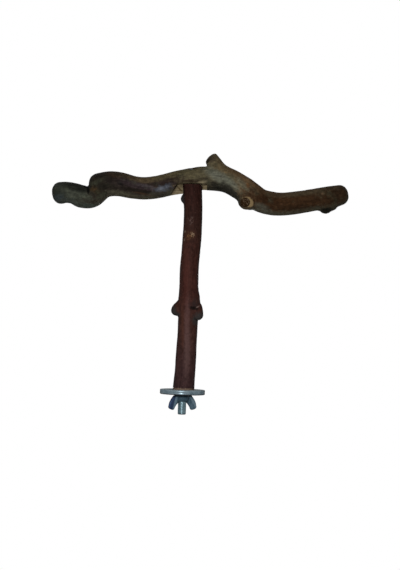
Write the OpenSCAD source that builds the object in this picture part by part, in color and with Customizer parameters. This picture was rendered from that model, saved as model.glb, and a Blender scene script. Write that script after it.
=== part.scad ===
// Bird perch that clamps to the side of a cage: a gnarled crosspiece housed on a
// straight upright, with a hanger bolt, two wide washers and a wing nut below.
// The bolt stands on the Z axis. Zero is the plane between the two washers, where
// the cage is held. +X runs to the perch's right end and +Y to its back.

/* [Crosspiece] */
// Length of the crosspiece from tip to tip
cross_length = 252; // [200:1:320]
// Usual thickness of the crosspiece
cross_d = 20; // [17:0.5:26]
// Length of the rounded left tip
left_tip = 7.8; // [4:0.1:9]
// Length of the rounded hump that overhangs the bend
hump_tip = 9.8; // [6:0.1:10]
// Length of the rounded right tip
right_tip = 9.4; // [4:0.1:10]
// Radius of the cut face of the twig stub on top
stub_r = 5.1; // [4:0.1:7]
// Reach of the twig stub from the middle of the crosspiece
stub_reach = 29.3; // [22:0.1:32]
// Radius of the sawn knot on the front
knot_r = 5.5; // [4:0.1:7]
// Drop of the front knot below the middle of the crosspiece
knot_drop = 5.4; // [4:0.1:8]
// Reach of the front knot from the middle of the crosspiece
knot_reach = 12.8; // [12:0.1:16]
// Radius of the dark hollow in the front knot
knot_hollow_r = 3.8; // [2.5:0.1:4]
// How far the hollow lies down and to the left of the knot's middle
knot_hollow_off = 1; // [0:0.1:1.2]
// Depth of the dark hollow in the front knot
knot_hollow_depth = 1.2; // [0.5:0.1:2.5]
// Radius of the small nub under the right end
nub_r = 3.8; // [2:0.1:4.5]
// Reach of the small nub from the middle of the crosspiece
nub_reach = 13.8; // [12:0.1:16]

/* [Upright] */
// Length of the upright from the washer to its top
upright_length = 174; // [120:0.5:260]
// Usual thickness of the upright
upright_d = 16; // [14:0.5:20]
// Radius of the left twig stub near its end
left_twig_r = 4; // [2.5:0.1:4.5]
// Radius of the right twig stub near its end
right_twig_r = 4.3; // [2.5:0.1:4.5]
// Reach of the left twig stub from the middle of the upright
left_twig_reach = 16.5; // [14:0.1:20]
// Reach of the right twig stub from the middle of the upright
right_twig_reach = 24; // [20:0.5:28]
// Radius of the bud near the top of the upright
bud_r = 4.6; // [3:0.1:6]
// Reach of the bud from the middle of the upright
bud_reach = 10.1; // [9:0.1:13]
// Size of the worn corner at the upright's top
corner_wear = 1.6; // [0.5:0.1:3]

/* [Joint] */
// Room in the housing beside the upright, left of it
housing_left = 5.2; // [1:0.1:8]
// Room in the housing beside the upright, right of it
housing_right = 4.6; // [1:0.1:8]
// How far the housing's left end leans outwards at the bottom
housing_lean = 5; // [0:0.1:8]
// Depth of the upright's tongue, from the upright's middle to the back of the housing
tongue_back = 5.2; // [3:0.1:6.5]
// How much the housing's ceiling climbs from its back wall to the front
ceiling_climb = 2.6; // [0:0.1:4]
// Height of the tongue, from its shoulder to the ceiling
tongue_h = 8.6; // [6:0.1:14]
// Diameter of the wood screw's shank
screw_d = 4.2; // [3:0.1:5]
// Length of the wood screw
screw_length = 50.8; // [36:0.1:76]
// Diameter of the wood screw's countersunk head
screw_head_d = 8.2; // [6.5:0.1:10]
// How far the screw head is sunk below the top of the crosspiece
screw_sink = 1; // [0.5:0.1:2.5]
// Length of the screw's point
screw_point = 6; // [3:0.5:9]

/* [Clamp hardware] */
// Diameter of the hanger bolt
bolt_d = 6.35; // [5:0.05:8]
// Whole length of the hanger bolt
bolt_length = 50.8; // [45:0.1:90]
// Length of the machine thread that stands out of the wood
bolt_out = 20.8; // [19.5:0.1:30]
// Length of the hanger bolt's wood point
bolt_point = 7; // [4:0.5:10]
// Size of the chamfer on the bolt's free end
bolt_chamfer = 1; // [0.5:0.1:1.5]
// Diameter of the two washers
washer_d = 38.1; // [25:0.1:45]
// Thickness of each washer
washer_t = 2; // [1.2:0.1:3]
// Rounding of the washers' rims
washer_round = 0.7; // [0.2:0.1:1]
// Radial room between the bolt and the washers' holes
washer_clear = 0.7; // [0.3:0.1:1.2]
// Thread pitch, the travel of the wing nut for each turn
thread_pitch = 1.27; // [0.8:0.01:1.5]
// Diameter of the wing nut's boss where it meets the washer
boss_d = 12; // [10:0.1:14]
// Diameter of the wing nut's boss at its outer end
boss_end_d = 10; // [9:0.1:12]
// Height of the wing nut's boss
boss_h = 6.8; // [5:0.1:8]
// Rounding of the boss's edges
boss_round = 0.7; // [0.2:0.1:1]
// Distance from the bolt's middle to the outer edge of a wing
wing_span = 12.9; // [11:0.1:16]
// Height of the wings from the washer to their tips
wing_h = 12.8; // [12:0.1:16]
// Thickness of a wing where it leaves the boss
wing_root_t = 3.6; // [2.5:0.1:4.8]
// Thickness of a wing near its tip
wing_tip_t = 2.7; // [1.8:0.1:4]
// Turn of the wing nut from the perch's length, in degrees
wing_turn = 28; // [0:1:90]
// Radial room between the bolt and the wing nut's bore
nut_clear = 0.05; // [0.02:0.01:0.1]

/* [Hidden] */

// Radial room round a screw or bolt in the hole drilled for it
drill_clear = 0.05;
// How far a cutting tool runs past what it cuts
overrun = 1;
// Sides round a branch, round a twig stub and round a wing
branch_sides = 30;
stub_sides = 20;
wing_sides = 20;
// Rings between two stations of a branch, and rings in a rounded tip
branch_steps = 3;
tip_rings = 5;
wing_steps = 4;
// Sides of a fine circle
fine = 64;

// Middle of the upright's top, where the crosspiece sits
seat_z = washer_t + upright_length;

// Stations along the crosspiece's left club, from its tip into the bend. In a row:
// the place along the length, the place above the seat, the place behind the bolt,
// half the height and half the depth. The first is a share of cross_length and the
// others are shares of cross_d.
club_shares = [
    [-0.438, -0.540, -0.20, 0.452, 0.450],
    [-0.421, -0.510, -0.20, 0.428, 0.435],
    [-0.396, -0.542, -0.17, 0.422, 0.440],
    [-0.371, -0.650, -0.12, 0.458, 0.465],
    [-0.347, -0.695, -0.05, 0.445, 0.475],
    [-0.327, -0.585,  0.00, 0.460, 0.470],
    [-0.307, -0.420,  0.04, 0.400, 0.420],
    [-0.290, -0.275,  0.07, 0.330, 0.350]
];

// Stations along the rest of the crosspiece, from the hump at the bend to the right
// tip, in rows like those of the club
cross_shares = [
    [-0.308, -0.160,  0.09, 0.523, 0.525],
    [-0.275, -0.075,  0.15, 0.520, 0.515],
    [-0.241, -0.080,  0.16, 0.490, 0.495],
    [-0.200, -0.183,  0.15, 0.457, 0.480],
    [-0.160, -0.222,  0.12, 0.454, 0.480],
    [-0.116, -0.160,  0.10, 0.462, 0.490],
    [-0.069, -0.010,  0.10, 0.474, 0.500],
    [-0.021,  0.130,  0.10, 0.510, 0.510],
    [ 0.027,  0.274,  0.10, 0.500, 0.510],
    [ 0.074,  0.280,  0.10, 0.505, 0.520],
    [ 0.118,  0.215,  0.08, 0.520, 0.530],
    [ 0.160, -0.040,  0.03, 0.526, 0.530],
    [ 0.193, -0.310, -0.02, 0.510, 0.515],
    [ 0.229, -0.604, -0.07, 0.482, 0.500],
    [ 0.265, -0.716, -0.10, 0.480, 0.485],
    [ 0.304, -0.726, -0.08, 0.465, 0.475],
    [ 0.352, -0.630, -0.02, 0.460, 0.465],
    [ 0.400, -0.506,  0.05, 0.458, 0.470],
    [ 0.447, -0.393,  0.12, 0.456, 0.475],
    [ 0.488, -0.297,  0.20, 0.433, 0.440]
];

// Stations up the upright. In a row: the place along the length, the place beside
// the bolt, the place behind the bolt, half the width and half the depth. The
// first is a share of upright_length and the others are shares of upright_d.
upright_shares = [
    [0.000, 0.048,  0.00, 0.560, 0.555],
    [0.045, 0.079,  0.02, 0.535, 0.535],
    [0.103, 0.122,  0.03, 0.515, 0.520],
    [0.183, 0.148,  0.04, 0.512, 0.510],
    [0.263, 0.162,  0.02, 0.500, 0.500],
    [0.332, 0.162,  0.00, 0.506, 0.505],
    [0.389, 0.163, -0.03, 0.520, 0.525],
    [0.446, 0.165, -0.05, 0.510, 0.510],
    [0.509, 0.171, -0.06, 0.498, 0.495],
    [0.590, 0.169, -0.05, 0.493, 0.490],
    [0.670, 0.220, -0.04, 0.487, 0.485],
    [0.739, 0.260, -0.03, 0.484, 0.480],
    [0.802, 0.273, -0.02, 0.474, 0.480],
    [0.876, 0.252, -0.03, 0.468, 0.475],
    [0.945, 0.210, -0.03, 0.478, 0.480],
    [1.000, 0.188, -0.03, 0.484, 0.485]
];

// Lumps round a branch: how many to a turn, how strong, and how they twist
lump_shares = [[2, 0.020, 31], [3, 0.022, -47], [5, 0.010, 83]];

// Where the knots and the screw stand, as shares of the way through the rows of the
// tables above
stub_row_share = 0.549;
knot_row_share = 0.6168;
nub_row_share = 0.956;
screw_row_share = 0.3895;
left_twig_row_share = 0.4453;
right_twig_row_share = 0.4873;
bud_row_share = 0.9167;

// Directions in which the knots grow. On the crosspiece: along it, up from it and
// back. On the upright: right, back and up.
stub_heading = [-0.94, 0.335, -0.06];
knot_heading = [0.20, -0.32, -0.93];
nub_heading = [-0.31, -1.00, -0.10];
left_twig_heading = [-0.79, -0.06, -0.61];
right_twig_heading = [0.43, -0.24, -0.87];
bud_heading = [-0.95, 0.30, 0.00];

// Profiles of the knots, from the branch's middle to the cut face. In a row: the place
// along the stub as a share of its reach, and the radius there as a share of its own.
stub_shares = [
    [0.05, 1.60], [0.38, 1.14], [0.57, 1.00], [0.78, 1.03],
    [0.90, 1.09], [0.965, 1.03], [0.99, 0.76], [1.00, 0.46]
];
knot_shares = [[0.10, 1.34], [0.60, 1.30], [0.80, 1.20], [0.93, 1.10], [1.00, 1.00]];
nub_shares = [
    [0.10, 2.30], [0.30, 2.30], [0.48, 2.08], [0.64, 2.00],
    [0.78, 1.30], [0.90, 1.00], [0.97, 0.62], [1.00, 0.30]
];
left_twig_shares = [
    [0.05, 1.30], [0.36, 1.40], [0.58, 1.38], [0.75, 1.25],
    [0.86, 1.00], [0.93, 0.76], [0.98, 0.48], [1.00, 0.25]
];
right_twig_shares = [
    [0.05, 1.86], [0.20, 1.82], [0.44, 1.44], [0.57, 1.45], [0.73, 1.22],
    [0.86, 1.00], [0.94, 0.75], [0.98, 0.47], [1.00, 0.23]
];
bud_shares = [[0.10, 1.05], [0.55, 1.00], [0.80, 0.78], [0.94, 0.46], [1.00, 0.16]];

// Middle line of a wing, out from the bolt and away from the washer. In a row:
// the place out from the bolt as a share of wing_span, the place down as a share
// of wing_h, and half the width as a share of wing_h.
wing_shares = [
    [0.29, 0.18, 0.180],
    [0.46, 0.31, 0.270],
    [0.635, 0.50, 0.257],
    [0.745, 0.68, 0.246],
    [0.79, 0.80, 0.222]
];
// Length of a wing's rounded tip, as a share of wing_h
wing_tip_share = 0.197;
// Share of a wing's thickness that its rounded tip keeps
wing_flat_share = 0.4;
// Power that squares up a wing's section: 1 for an ellipse, less for a squarer one
wing_square = 0.75;
// Width of the hanger bolt's point at its very end, as a share of the bolt's
point_share = 1 / 6;

bolt_r = bolt_d / 2;
bolt_end_z = washer_t - bolt_out;
nut_top_z = -washer_t;
boss_end_z = nut_top_z - boss_h;
// One thread root, cut round the bolt just below the wing nut
root_w = 0.55 * thread_pitch;
root_depth = 0.4;
root_gap = 0.6;
screw_x = upright_shares[len(upright_shares) - 1][1] * upright_d;
upright_y = upright_shares[len(upright_shares) - 1][2] * upright_d;
screw_y = upright_y;
housing_back = upright_y + tongue_back;
shoulder_z = seat_z - tongue_h;

// Point of a smooth curve between b and c, with a before and d after them
function curve(a, b, c, d, t) =
    b + (c - a) * t / 2 + (2 * a - 5 * b + 4 * c - d) * t * t / 2
    + (3 * b - a - 3 * c + d) * t * t * t / 2;

// Row of a table at a place between its rows
function row_at(table, u) =
    let (last = len(table) - 1, i = min(max(floor(u), 0), last - 1))
    curve(table[max(i - 1, 0)], table[i], table[i + 1], table[min(i + 2, last)], u - i);

// Swelling of a branch at a place and at an angle round it
function lump(u, turn, k = 0) =
    k == len(lump_shares) ? 1
    : lump(u, turn, k + 1)
      + lump_shares[k][1] * sin(lump_shares[k][0] * turn + lump_shares[k][2] * u);

// Middle, half height and half depth of the crosspiece at a station of a table
function cross_row(u, table = cross_shares) =
    let (r = row_at(table, u))
    [screw_x + r[0] * cross_length, r[2] * cross_d, seat_z + r[1] * cross_d,
     r[3] * cross_d, r[4] * cross_d];

// Middle, half width and half depth of the upright at a station
function upright_row(u) =
    let (r = row_at(upright_shares, u))
    [r[1] * upright_d, r[2] * upright_d, washer_t + r[0] * upright_length,
     r[3] * upright_d, r[4] * upright_d];

function middle(r) = [r[0], r[1], r[2]];
function unit(v) = v / norm(v);

// Station at a share of the way through the rows of a table
function station(share, table = cross_shares) = share * (len(table) - 1);
stub_station = station(stub_row_share);
knot_station = station(knot_row_share);
nub_station = station(nub_row_share);

// Direction along the crosspiece, and its upward normal, both in the XZ plane
function cross_along(u, table = cross_shares) =
    let (last = len(table) - 1, step = 0.05,
         a = cross_row(max(u - step, 0), table), b = cross_row(min(u + step, last), table))
    unit([b[0] - a[0], 0, b[2] - a[2]]);
function cross_up(u, table = cross_shares) =
    let (t = cross_along(u, table)) [-t[2], 0, t[0]];

// Middle of the upright at a share of the way through its rows
function on_upright(share) = middle(upright_row(station(share, upright_shares)));

// One ring of the crosspiece, drawn in by a share and moved along by a length
function cross_ring(table, u, draw_in = 1, shift = 0) =
    let (r = cross_row(u, table), up = cross_up(u, table),
         c = middle(r) + cross_along(u, table) * shift)
    [for (k = [0:branch_sides - 1])
        let (turn = -360 * k / branch_sides, s = draw_in * lump(u, turn))
        c + up * r[3] * s * cos(turn) + [0, r[4] * s * sin(turn), 0]];

// One level ring of the upright
function upright_ring(u) =
    let (r = upright_row(u))
    [for (k = [0:branch_sides - 1])
        let (turn = 360 * k / branch_sides, s = lump(u, turn))
        middle(r) + [r[3] * s * cos(turn), r[4] * s * sin(turn), 0]];

// How pointed a rounded tip is: 0.5 for an ellipse, less for a blunter one
tip_power_share = 0.417;
// Share of the full thickness that is left at a place along a rounded tip
function tip_share(t) = pow(1 - pow(t, 1 / tip_power_share), tip_power_share);
// Places of the rings along a rounded tip, closer together towards its end
function tip_place(k) = sin(90 * k / (tip_rings + 0.5));

// Closed solid through a list of rings with as many points each, which turn to the
// left seen from the last ring
module skin(rings) {
    n = len(rings[0]);
    last = len(rings) - 1;
    polyhedron(
        points = [for (r = rings) for (p = r) p],
        faces = concat(
            [[for (k = [0:n - 1]) k]],
            [[for (k = [0:n - 1]) last * n + n - 1 - k]],
            [for (i = [0:last - 1]) for (k = [0:n - 1])
                [i * n + k, (i + 1) * n + k, (i + 1) * n + (k + 1) % n]],
            [for (i = [0:last - 1]) for (k = [0:n - 1])
                [i * n + k, (i + 1) * n + (k + 1) % n, i * n + (k + 1) % n]]),
        convexity = 6);
}

// Stub of a cut twig that leaves a branch at c in direction d. The reach is its
// length, r the radius of its cut face and profile its rows of places and radii.
module twig_stub(c, d, reach, r, profile) {
    side = unit(cross(d, abs(d[1]) < 0.9 ? [0, 1, 0] : [1, 0, 0]));
    up = cross(side, d);
    skin([for (row = profile)
        [for (k = [0:stub_sides - 1])
            let (turn = -360 * k / stub_sides)
            c + d * reach * row[0] + (side * cos(turn) + up * sin(turn)) * r * row[1]]]);
}

// Direction on the crosspiece from its shares along, up and back
function cross_heading(u, shares) =
    unit(cross_along(u) * shares[0] + cross_up(u) * shares[1] + [0, shares[2], 0]);

// Length of crosspiece through the stations of a table, with both of its ends rounded
module cross_run(table, first_tip, last_tip) {
    last = len(table) - 1;
    skin(concat(
        [for (k = [tip_rings:-1:1])
            let (t = tip_place(k)) cross_ring(table, 0, tip_share(t), -first_tip * t)],
        [for (i = [0:last * branch_steps]) cross_ring(table, i / branch_steps)],
        [for (k = [1:tip_rings])
            let (t = tip_place(k)) cross_ring(table, last, tip_share(t), last_tip * t)]));
}

// Housing in the front of the crosspiece, sawn and chiselled for the upright's top
module housing() {
    half = upright_row(len(upright_shares) - 1)[3];
    left = screw_x - half - housing_left;
    right = screw_x + half + housing_right;
    front = -cross_d - overrun;
    low = seat_z - cross_d;
    lean_low = housing_lean * cross_d / tongue_h;
    intersection() {
        translate([0, housing_back, 0])
            rotate([90, 0, 0])
                linear_extrude(height = housing_back - front)
                    polygon([[left - lean_low, low], [right, low], [right, seat_z + cross_d],
                             [left, seat_z + cross_d], [left, seat_z]]);
        translate([left - cross_d, 0, 0])
            rotate([90, 0, 90])
                linear_extrude(height = right - left + 2 * cross_d)
                    polygon([[housing_back, low - overrun], [housing_back, seat_z],
                             [upright_y, seat_z], [front, seat_z + ceiling_climb],
                             [front, low - overrun]]);
    }
}

// Height of the crosspiece's top above the upright
cross_top_z = let (r = cross_row(station(screw_row_share))) r[2] + r[3];
screw_top_z = cross_top_z - screw_sink;

// Screw and the hole for it share this outline, with room all round
module screw_shape(room, point) {
    head_h = (screw_head_d - screw_d) / 2;
    rotate_extrude($fn = fine)
        polygon([[0, screw_top_z + room], [screw_head_d / 2 + room, screw_top_z + room],
                 [screw_d / 2 + room, screw_top_z - head_h],
                 [screw_d / 2 + room, screw_top_z - screw_length + point - room],
                 [room, screw_top_z - screw_length - room], [0, screw_top_z - screw_length - room]]);
}

module cross_branch() color([0.30, 0.25, 0.19]) {
    knot_c = middle(cross_row(knot_station)) - [0, 0, knot_drop];
    knot_d = cross_heading(knot_station, knot_heading);
    hollow_off = unit(cross(knot_d, [-1, 0, 1])) * knot_hollow_off;
    difference() {
        union() {
            cross_run(club_shares, left_tip, hump_tip);
            cross_run(cross_shares, hump_tip, right_tip);
            twig_stub(middle(cross_row(stub_station)), cross_heading(stub_station, stub_heading),
                      stub_reach, stub_r, stub_shares);
            twig_stub(knot_c, knot_d, knot_reach, knot_r, knot_shares);
            twig_stub(middle(cross_row(nub_station)), cross_heading(nub_station, nub_heading),
                      nub_reach, nub_r, nub_shares);
        }
        housing();
        translate([screw_x, screw_y, 0]) {
            screw_shape(drill_clear, screw_point);
            translate([0, 0, screw_top_z])
                cylinder(h = cross_d, r = screw_head_d / 2 + drill_clear, $fn = fine);
        }
        translate(knot_c + knot_d * (knot_reach - knot_hollow_depth) + hollow_off)
            rotate([0, acos(knot_d[2]), atan2(knot_d[1], knot_d[0])])
                cylinder(h = knot_hollow_depth + overrun, r = knot_hollow_r, $fn = fine);
    }
}

module upright_branch() color([0.27, 0.16, 0.13]) {
    last = len(upright_shares) - 1;
    top = upright_row(last);
    wear = corner_wear * sqrt(2);
    difference() {
        union() {
            skin([for (i = [0:last * branch_steps]) upright_ring(i / branch_steps)]);
            twig_stub(on_upright(left_twig_row_share), unit(left_twig_heading),
                      left_twig_reach, left_twig_r, left_twig_shares);
            twig_stub(on_upright(right_twig_row_share), unit(right_twig_heading),
                      right_twig_reach, right_twig_r, right_twig_shares);
            twig_stub(on_upright(bud_row_share), unit(bud_heading),
                      bud_reach, bud_r, bud_shares);
        }
        translate([top[0] - upright_d, housing_back, shoulder_z])
            cube([2 * upright_d, upright_d, tongue_h + overrun]);
        translate([top[0] + top[3], 0, seat_z])
            rotate([0, 45, 0])
                cube([wear, 4 * upright_d, wear], center = true);
        translate([screw_x, screw_y, 0])
            screw_shape(drill_clear, screw_point);
        hanger_shape(drill_clear);
    }
}

module joint_screw() color([0.72, 0.73, 0.74]) {
    translate([screw_x, screw_y, 0])
        screw_shape(0, screw_point);
}

// Wood end of the hanger bolt, up from the washers, with room all round
module hanger_shape(room) {
    top = bolt_end_z + bolt_length;
    rotate_extrude($fn = fine)
        polygon([[0, 0], [bolt_r + room, 0], [bolt_r + room, top - bolt_point],
                 [room + point_share * bolt_r, top + room], [0, top + room]]);
}

module hanger_bolt() color([0.62, 0.66, 0.70]) {
    top = bolt_end_z + bolt_length;
    root_top = boss_end_z - root_gap;
    rotate_extrude($fn = fine)
        polygon([[0, bolt_end_z], [bolt_r - bolt_chamfer, bolt_end_z],
                 [bolt_r, bolt_end_z + bolt_chamfer],
                 [bolt_r, root_top - root_w], [bolt_r - root_depth, root_top - root_w],
                 [bolt_r - root_depth, root_top], [bolt_r, root_top],
                 [bolt_r, top - bolt_point], [point_share * bolt_r, top], [0, top]]);
}

// Points of a quarter circle of radius r about c, from one angle to another
function quarter(c, r, from, to, steps = 4) =
    [for (k = [0:steps])
        let (turn = from + (to - from) * k / steps)
        c + r * [cos(turn), sin(turn)]];

module washer() {
    rim = washer_d / 2 - washer_round;
    hole = bolt_r + washer_clear;
    rotate_extrude($fn = fine)
        polygon(concat(
            [[hole, 0]],
            quarter([rim, washer_round], washer_round, -90, 0),
            quarter([rim, washer_t - washer_round], washer_round, 0, 90),
            [[hole, washer_t]]));
}

module upper_washer() color([0.66, 0.70, 0.74]) washer();

module lower_washer() color([0.66, 0.70, 0.74])
    translate([0, 0, -washer_t])
        washer();

// One ring of a wing, square to its middle line
function wing_ring(u, draw_in = 1, shift = 0) =
    let (last = len(wing_shares) - 1, r = row_at(wing_shares, u), step = 0.05,
         a = row_at(wing_shares, max(u - step, 0)), b = row_at(wing_shares, min(u + step, last)),
         along = unit([(b[0] - a[0]) * wing_span, 0, -(b[1] - a[1]) * wing_h]),
         out = [-along[2], 0, along[0]],
         c = [r[0] * wing_span, 0, nut_top_z - r[1] * wing_h] + along * shift,
         half_t = (wing_root_t + (wing_tip_t - wing_root_t) * u / last) / 2)
    [for (k = [0:wing_sides - 1])
        let (turn = -360 * k / wing_sides)
        c + out * r[2] * wing_h * draw_in * soft(cos(turn))
        + [0, half_t * (wing_flat_share + (1 - wing_flat_share) * draw_in) * soft(sin(turn)), 0]];

// Sine or cosine pushed outwards, which makes a ring squarer than an ellipse
function soft(s) = sign(s) * pow(abs(s), wing_square);

module wing() {
    last = len(wing_shares) - 1;
    skin(concat(
        [for (i = [0:last * wing_steps]) wing_ring(i / wing_steps)],
        [for (k = [1:tip_rings])
            let (t = tip_place(k))
            wing_ring(last, tip_share(t), wing_tip_share * wing_h * t)]));
}

module wing_nut() color([0.50, 0.58, 0.64])
    rotate([0, 0, wing_turn])
        difference() {
            union() {
                rotate_extrude($fn = fine)
                    polygon([[0, nut_top_z], [boss_d / 2 - boss_round / 2, nut_top_z],
                             [boss_d / 2, nut_top_z - boss_round],
                             [boss_end_d / 2, boss_end_z + boss_round],
                             [boss_end_d / 2 - boss_round, boss_end_z], [0, boss_end_z]]);
                for (turn = [0, 180])
                    rotate([0, 0, turn])
                        wing();
            }
            translate([0, 0, boss_end_z - overrun])
                cylinder(h = boss_h + 2 * overrun, r = bolt_r + nut_clear, $fn = fine);
        }

cross_branch();
upright_branch();
joint_screw();
hanger_bolt();
upper_washer();
lower_washer();
wing_nut();
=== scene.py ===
import itertools
import math

import bpy
import numpy as np
from mathutils import Matrix, Vector


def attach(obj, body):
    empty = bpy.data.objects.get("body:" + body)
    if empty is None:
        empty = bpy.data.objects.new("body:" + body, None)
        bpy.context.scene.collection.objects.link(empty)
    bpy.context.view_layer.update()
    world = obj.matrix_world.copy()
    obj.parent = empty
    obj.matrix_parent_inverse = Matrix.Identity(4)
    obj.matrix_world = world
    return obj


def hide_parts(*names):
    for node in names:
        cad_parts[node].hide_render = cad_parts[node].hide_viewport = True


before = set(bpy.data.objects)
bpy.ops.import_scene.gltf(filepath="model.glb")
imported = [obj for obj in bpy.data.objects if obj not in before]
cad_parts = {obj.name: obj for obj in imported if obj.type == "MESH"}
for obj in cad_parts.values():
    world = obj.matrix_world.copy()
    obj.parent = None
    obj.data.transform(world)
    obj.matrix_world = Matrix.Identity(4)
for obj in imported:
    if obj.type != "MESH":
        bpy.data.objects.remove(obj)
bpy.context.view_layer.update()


# The studio. The perch hangs in the air as it does in the photograph, above a small
# pale floor that lies just below the picture. One soft lamp stands by the camera and a
# weaker one straight behind, so that the round edges of the wood stay dark.
MM = 0.001
CAMERA_TILT = math.radians(1.8)
CAMERA_PLACE = (0.01205, -1.8, 0.0910)
camera_data = bpy.data.cameras.new("perch_camera")
camera_data.sensor_fit = "VERTICAL"
camera_data.sensor_height = 36
camera_data.lens = 134.2
camera = bpy.data.objects.new("perch_camera", camera_data)
bpy.context.scene.collection.objects.link(camera)
right = Vector((math.cos(CAMERA_TILT), 0, math.sin(CAMERA_TILT)))
above = Vector((-math.sin(CAMERA_TILT), 0, math.cos(CAMERA_TILT)))
camera.matrix_world = Matrix.Translation(CAMERA_PLACE) @ Matrix(
    (right, above, Vector((0, -1, 0)))).transposed().to_4x4()
bpy.context.scene.camera = camera
bpy.context.scene.view_settings.view_transform = "Standard"


def soft_lamp(name, spot, side, watts):
    """A square lamp of a given side that shines from a spot towards the perch's middle."""
    lamp = bpy.data.lights.new(name, "AREA")
    lamp.size = side
    lamp.energy = watts
    holder = bpy.data.objects.new(name, lamp)
    bpy.context.scene.collection.objects.link(holder)
    holder.location = spot
    aim = Vector((0.01, 0, 0.10)) - Vector(spot)
    holder.rotation_euler = aim.to_track_quat("-Z", "Y").to_euler()


soft_lamp("front_lamp", (-0.12, -1.32, 0.22), 0.30, 15.0)
soft_lamp("back_lamp", (0.10, 1.40, 0.24), 0.6, 14.0)


def wire(tree, kind, settings, inputs):
    """One node with its settings. An input is a number, a colour or another node's output."""
    node = tree.nodes.new(kind)
    for name, value in settings.items():
        setattr(node, name, value)
    for name, value in inputs.items():
        if isinstance(value, bpy.types.NodeSocket):
            tree.links.new(value, node.inputs[name])
        else:
            node.inputs[name].default_value = value
    return node


def maths(tree, operation, *values):
    """Output of one Math node."""
    return wire(tree, "ShaderNodeMath", {"operation": operation},
                dict(enumerate(values))).outputs[0]


world = bpy.data.worlds.new("studio")
world.use_nodes = True
bpy.context.scene.world = world
sky = world.node_tree
sky.nodes.clear()
seen = wire(sky, "ShaderNodeLightPath", {}, {})
backdrop = maths(sky, "MAXIMUM", seen.outputs["Is Camera Ray"], maths(
    sky, "MAXIMUM", seen.outputs["Is Glossy Ray"], seen.outputs["Is Transmission Ray"]))
ROOM_LIGHT = 0.09
strength = maths(sky, "MULTIPLY_ADD", backdrop, 1 - ROOM_LIGHT, ROOM_LIGHT)
wire(sky, "ShaderNodeOutputWorld", {}, {"Surface": wire(
    sky, "ShaderNodeBackground", {}, {"Color": (1, 1, 1, 1), "Strength": strength}).outputs[0]})

FLOOR_Z = -0.21
FLOOR_R = 0.34
FLOOR_PALE = 0.92
FLOOR_GLOW = 0.42
turn = np.linspace(0, 2 * np.pi, 96, endpoint=False)
floor_rim = np.stack([FLOOR_R * np.cos(turn), FLOOR_R * np.sin(turn), 0 * turn + FLOOR_Z], 1)
floor_mesh = bpy.data.meshes.new("floor")
floor_mesh.from_pydata(floor_rim.tolist(), [], [list(range(len(turn)))])
floor = bpy.data.objects.new("floor", floor_mesh)
bpy.context.scene.collection.objects.link(floor)
floor_paint = bpy.data.materials.new("floor_paint")
floor_paint.use_nodes = True
ground = floor_paint.node_tree
matt = ground.nodes["Principled BSDF"]
matt.inputs["Base Color"].default_value = (FLOOR_PALE, FLOOR_PALE, FLOOR_PALE, 1)
matt.inputs["Roughness"].default_value = 0.9
matt.inputs["Emission Strength"].default_value = 1.0
to_camera = wire(ground, "ShaderNodeLightPath", {}, {}).outputs["Is Camera Ray"]
ground.links.new(maths(ground, "MULTIPLY", to_camera, FLOOR_GLOW), matt.inputs["Emission Color"])
floor_mesh.materials.append(floor_paint)


# The crosspiece: one gnarled branch, cut with its bark on, with a club-shaped end that
# folds under a hump, the cut stub of a twig on top, a sawn knot on its front and a small
# nub below. A housing is sawn and chiselled in it for the upright, and a hole for a screw.
CROSS_LENGTH = 252.0
CROSS_D = 20.0
SEAT_Z = 176.0
SCREW_X = 3.008
SCREW_Y = -0.48
HUMP_TIP = 9.8
CLUB_TIP = 7.8
RIGHT_TIP = 9.4
TIP_POWER = 2.4
# Two runs of it, the club with its fold and the rest. In a row: the place of the middle
# along the length, up and back, and half the height and half the depth, all as shares of
# the crosspiece's length or thickness.
club_shares = np.array([
    [-0.438, -0.540, -0.20, 0.452, 0.450],
    [-0.421, -0.510, -0.20, 0.428, 0.435],
    [-0.396, -0.542, -0.17, 0.422, 0.440],
    [-0.371, -0.650, -0.12, 0.458, 0.465],
    [-0.347, -0.695, -0.05, 0.445, 0.475],
    [-0.327, -0.585, 0.00, 0.460, 0.470],
    [-0.307, -0.420, 0.04, 0.400, 0.420],
    [-0.290, -0.275, 0.07, 0.330, 0.350]])
cross_shares = np.array([
    [-0.308, -0.160, 0.09, 0.523, 0.525],
    [-0.275, -0.075, 0.15, 0.520, 0.515],
    [-0.241, -0.080, 0.16, 0.490, 0.495],
    [-0.200, -0.183, 0.15, 0.457, 0.480],
    [-0.160, -0.222, 0.12, 0.454, 0.480],
    [-0.116, -0.160, 0.10, 0.462, 0.490],
    [-0.069, -0.010, 0.10, 0.474, 0.500],
    [-0.021, 0.130, 0.10, 0.510, 0.510],
    [0.027, 0.274, 0.10, 0.500, 0.510],
    [0.074, 0.280, 0.10, 0.505, 0.520],
    [0.118, 0.215, 0.08, 0.520, 0.530],
    [0.160, -0.040, 0.03, 0.526, 0.530],
    [0.193, -0.310, -0.02, 0.510, 0.515],
    [0.229, -0.604, -0.07, 0.482, 0.500],
    [0.265, -0.716, -0.10, 0.480, 0.485],
    [0.304, -0.726, -0.08, 0.465, 0.475],
    [0.352, -0.630, -0.02, 0.460, 0.465],
    [0.400, -0.506, 0.05, 0.458, 0.470],
    [0.447, -0.387, 0.12, 0.463, 0.475],
    [0.488, -0.280, 0.20, 0.436, 0.440]])
# Lumps of a branch: how many round it, how strong, and how far they turn from row to row.
lump_shares = [(2, 0.020, 31), (3, 0.022, -47), (5, 0.010, 83)]


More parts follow.
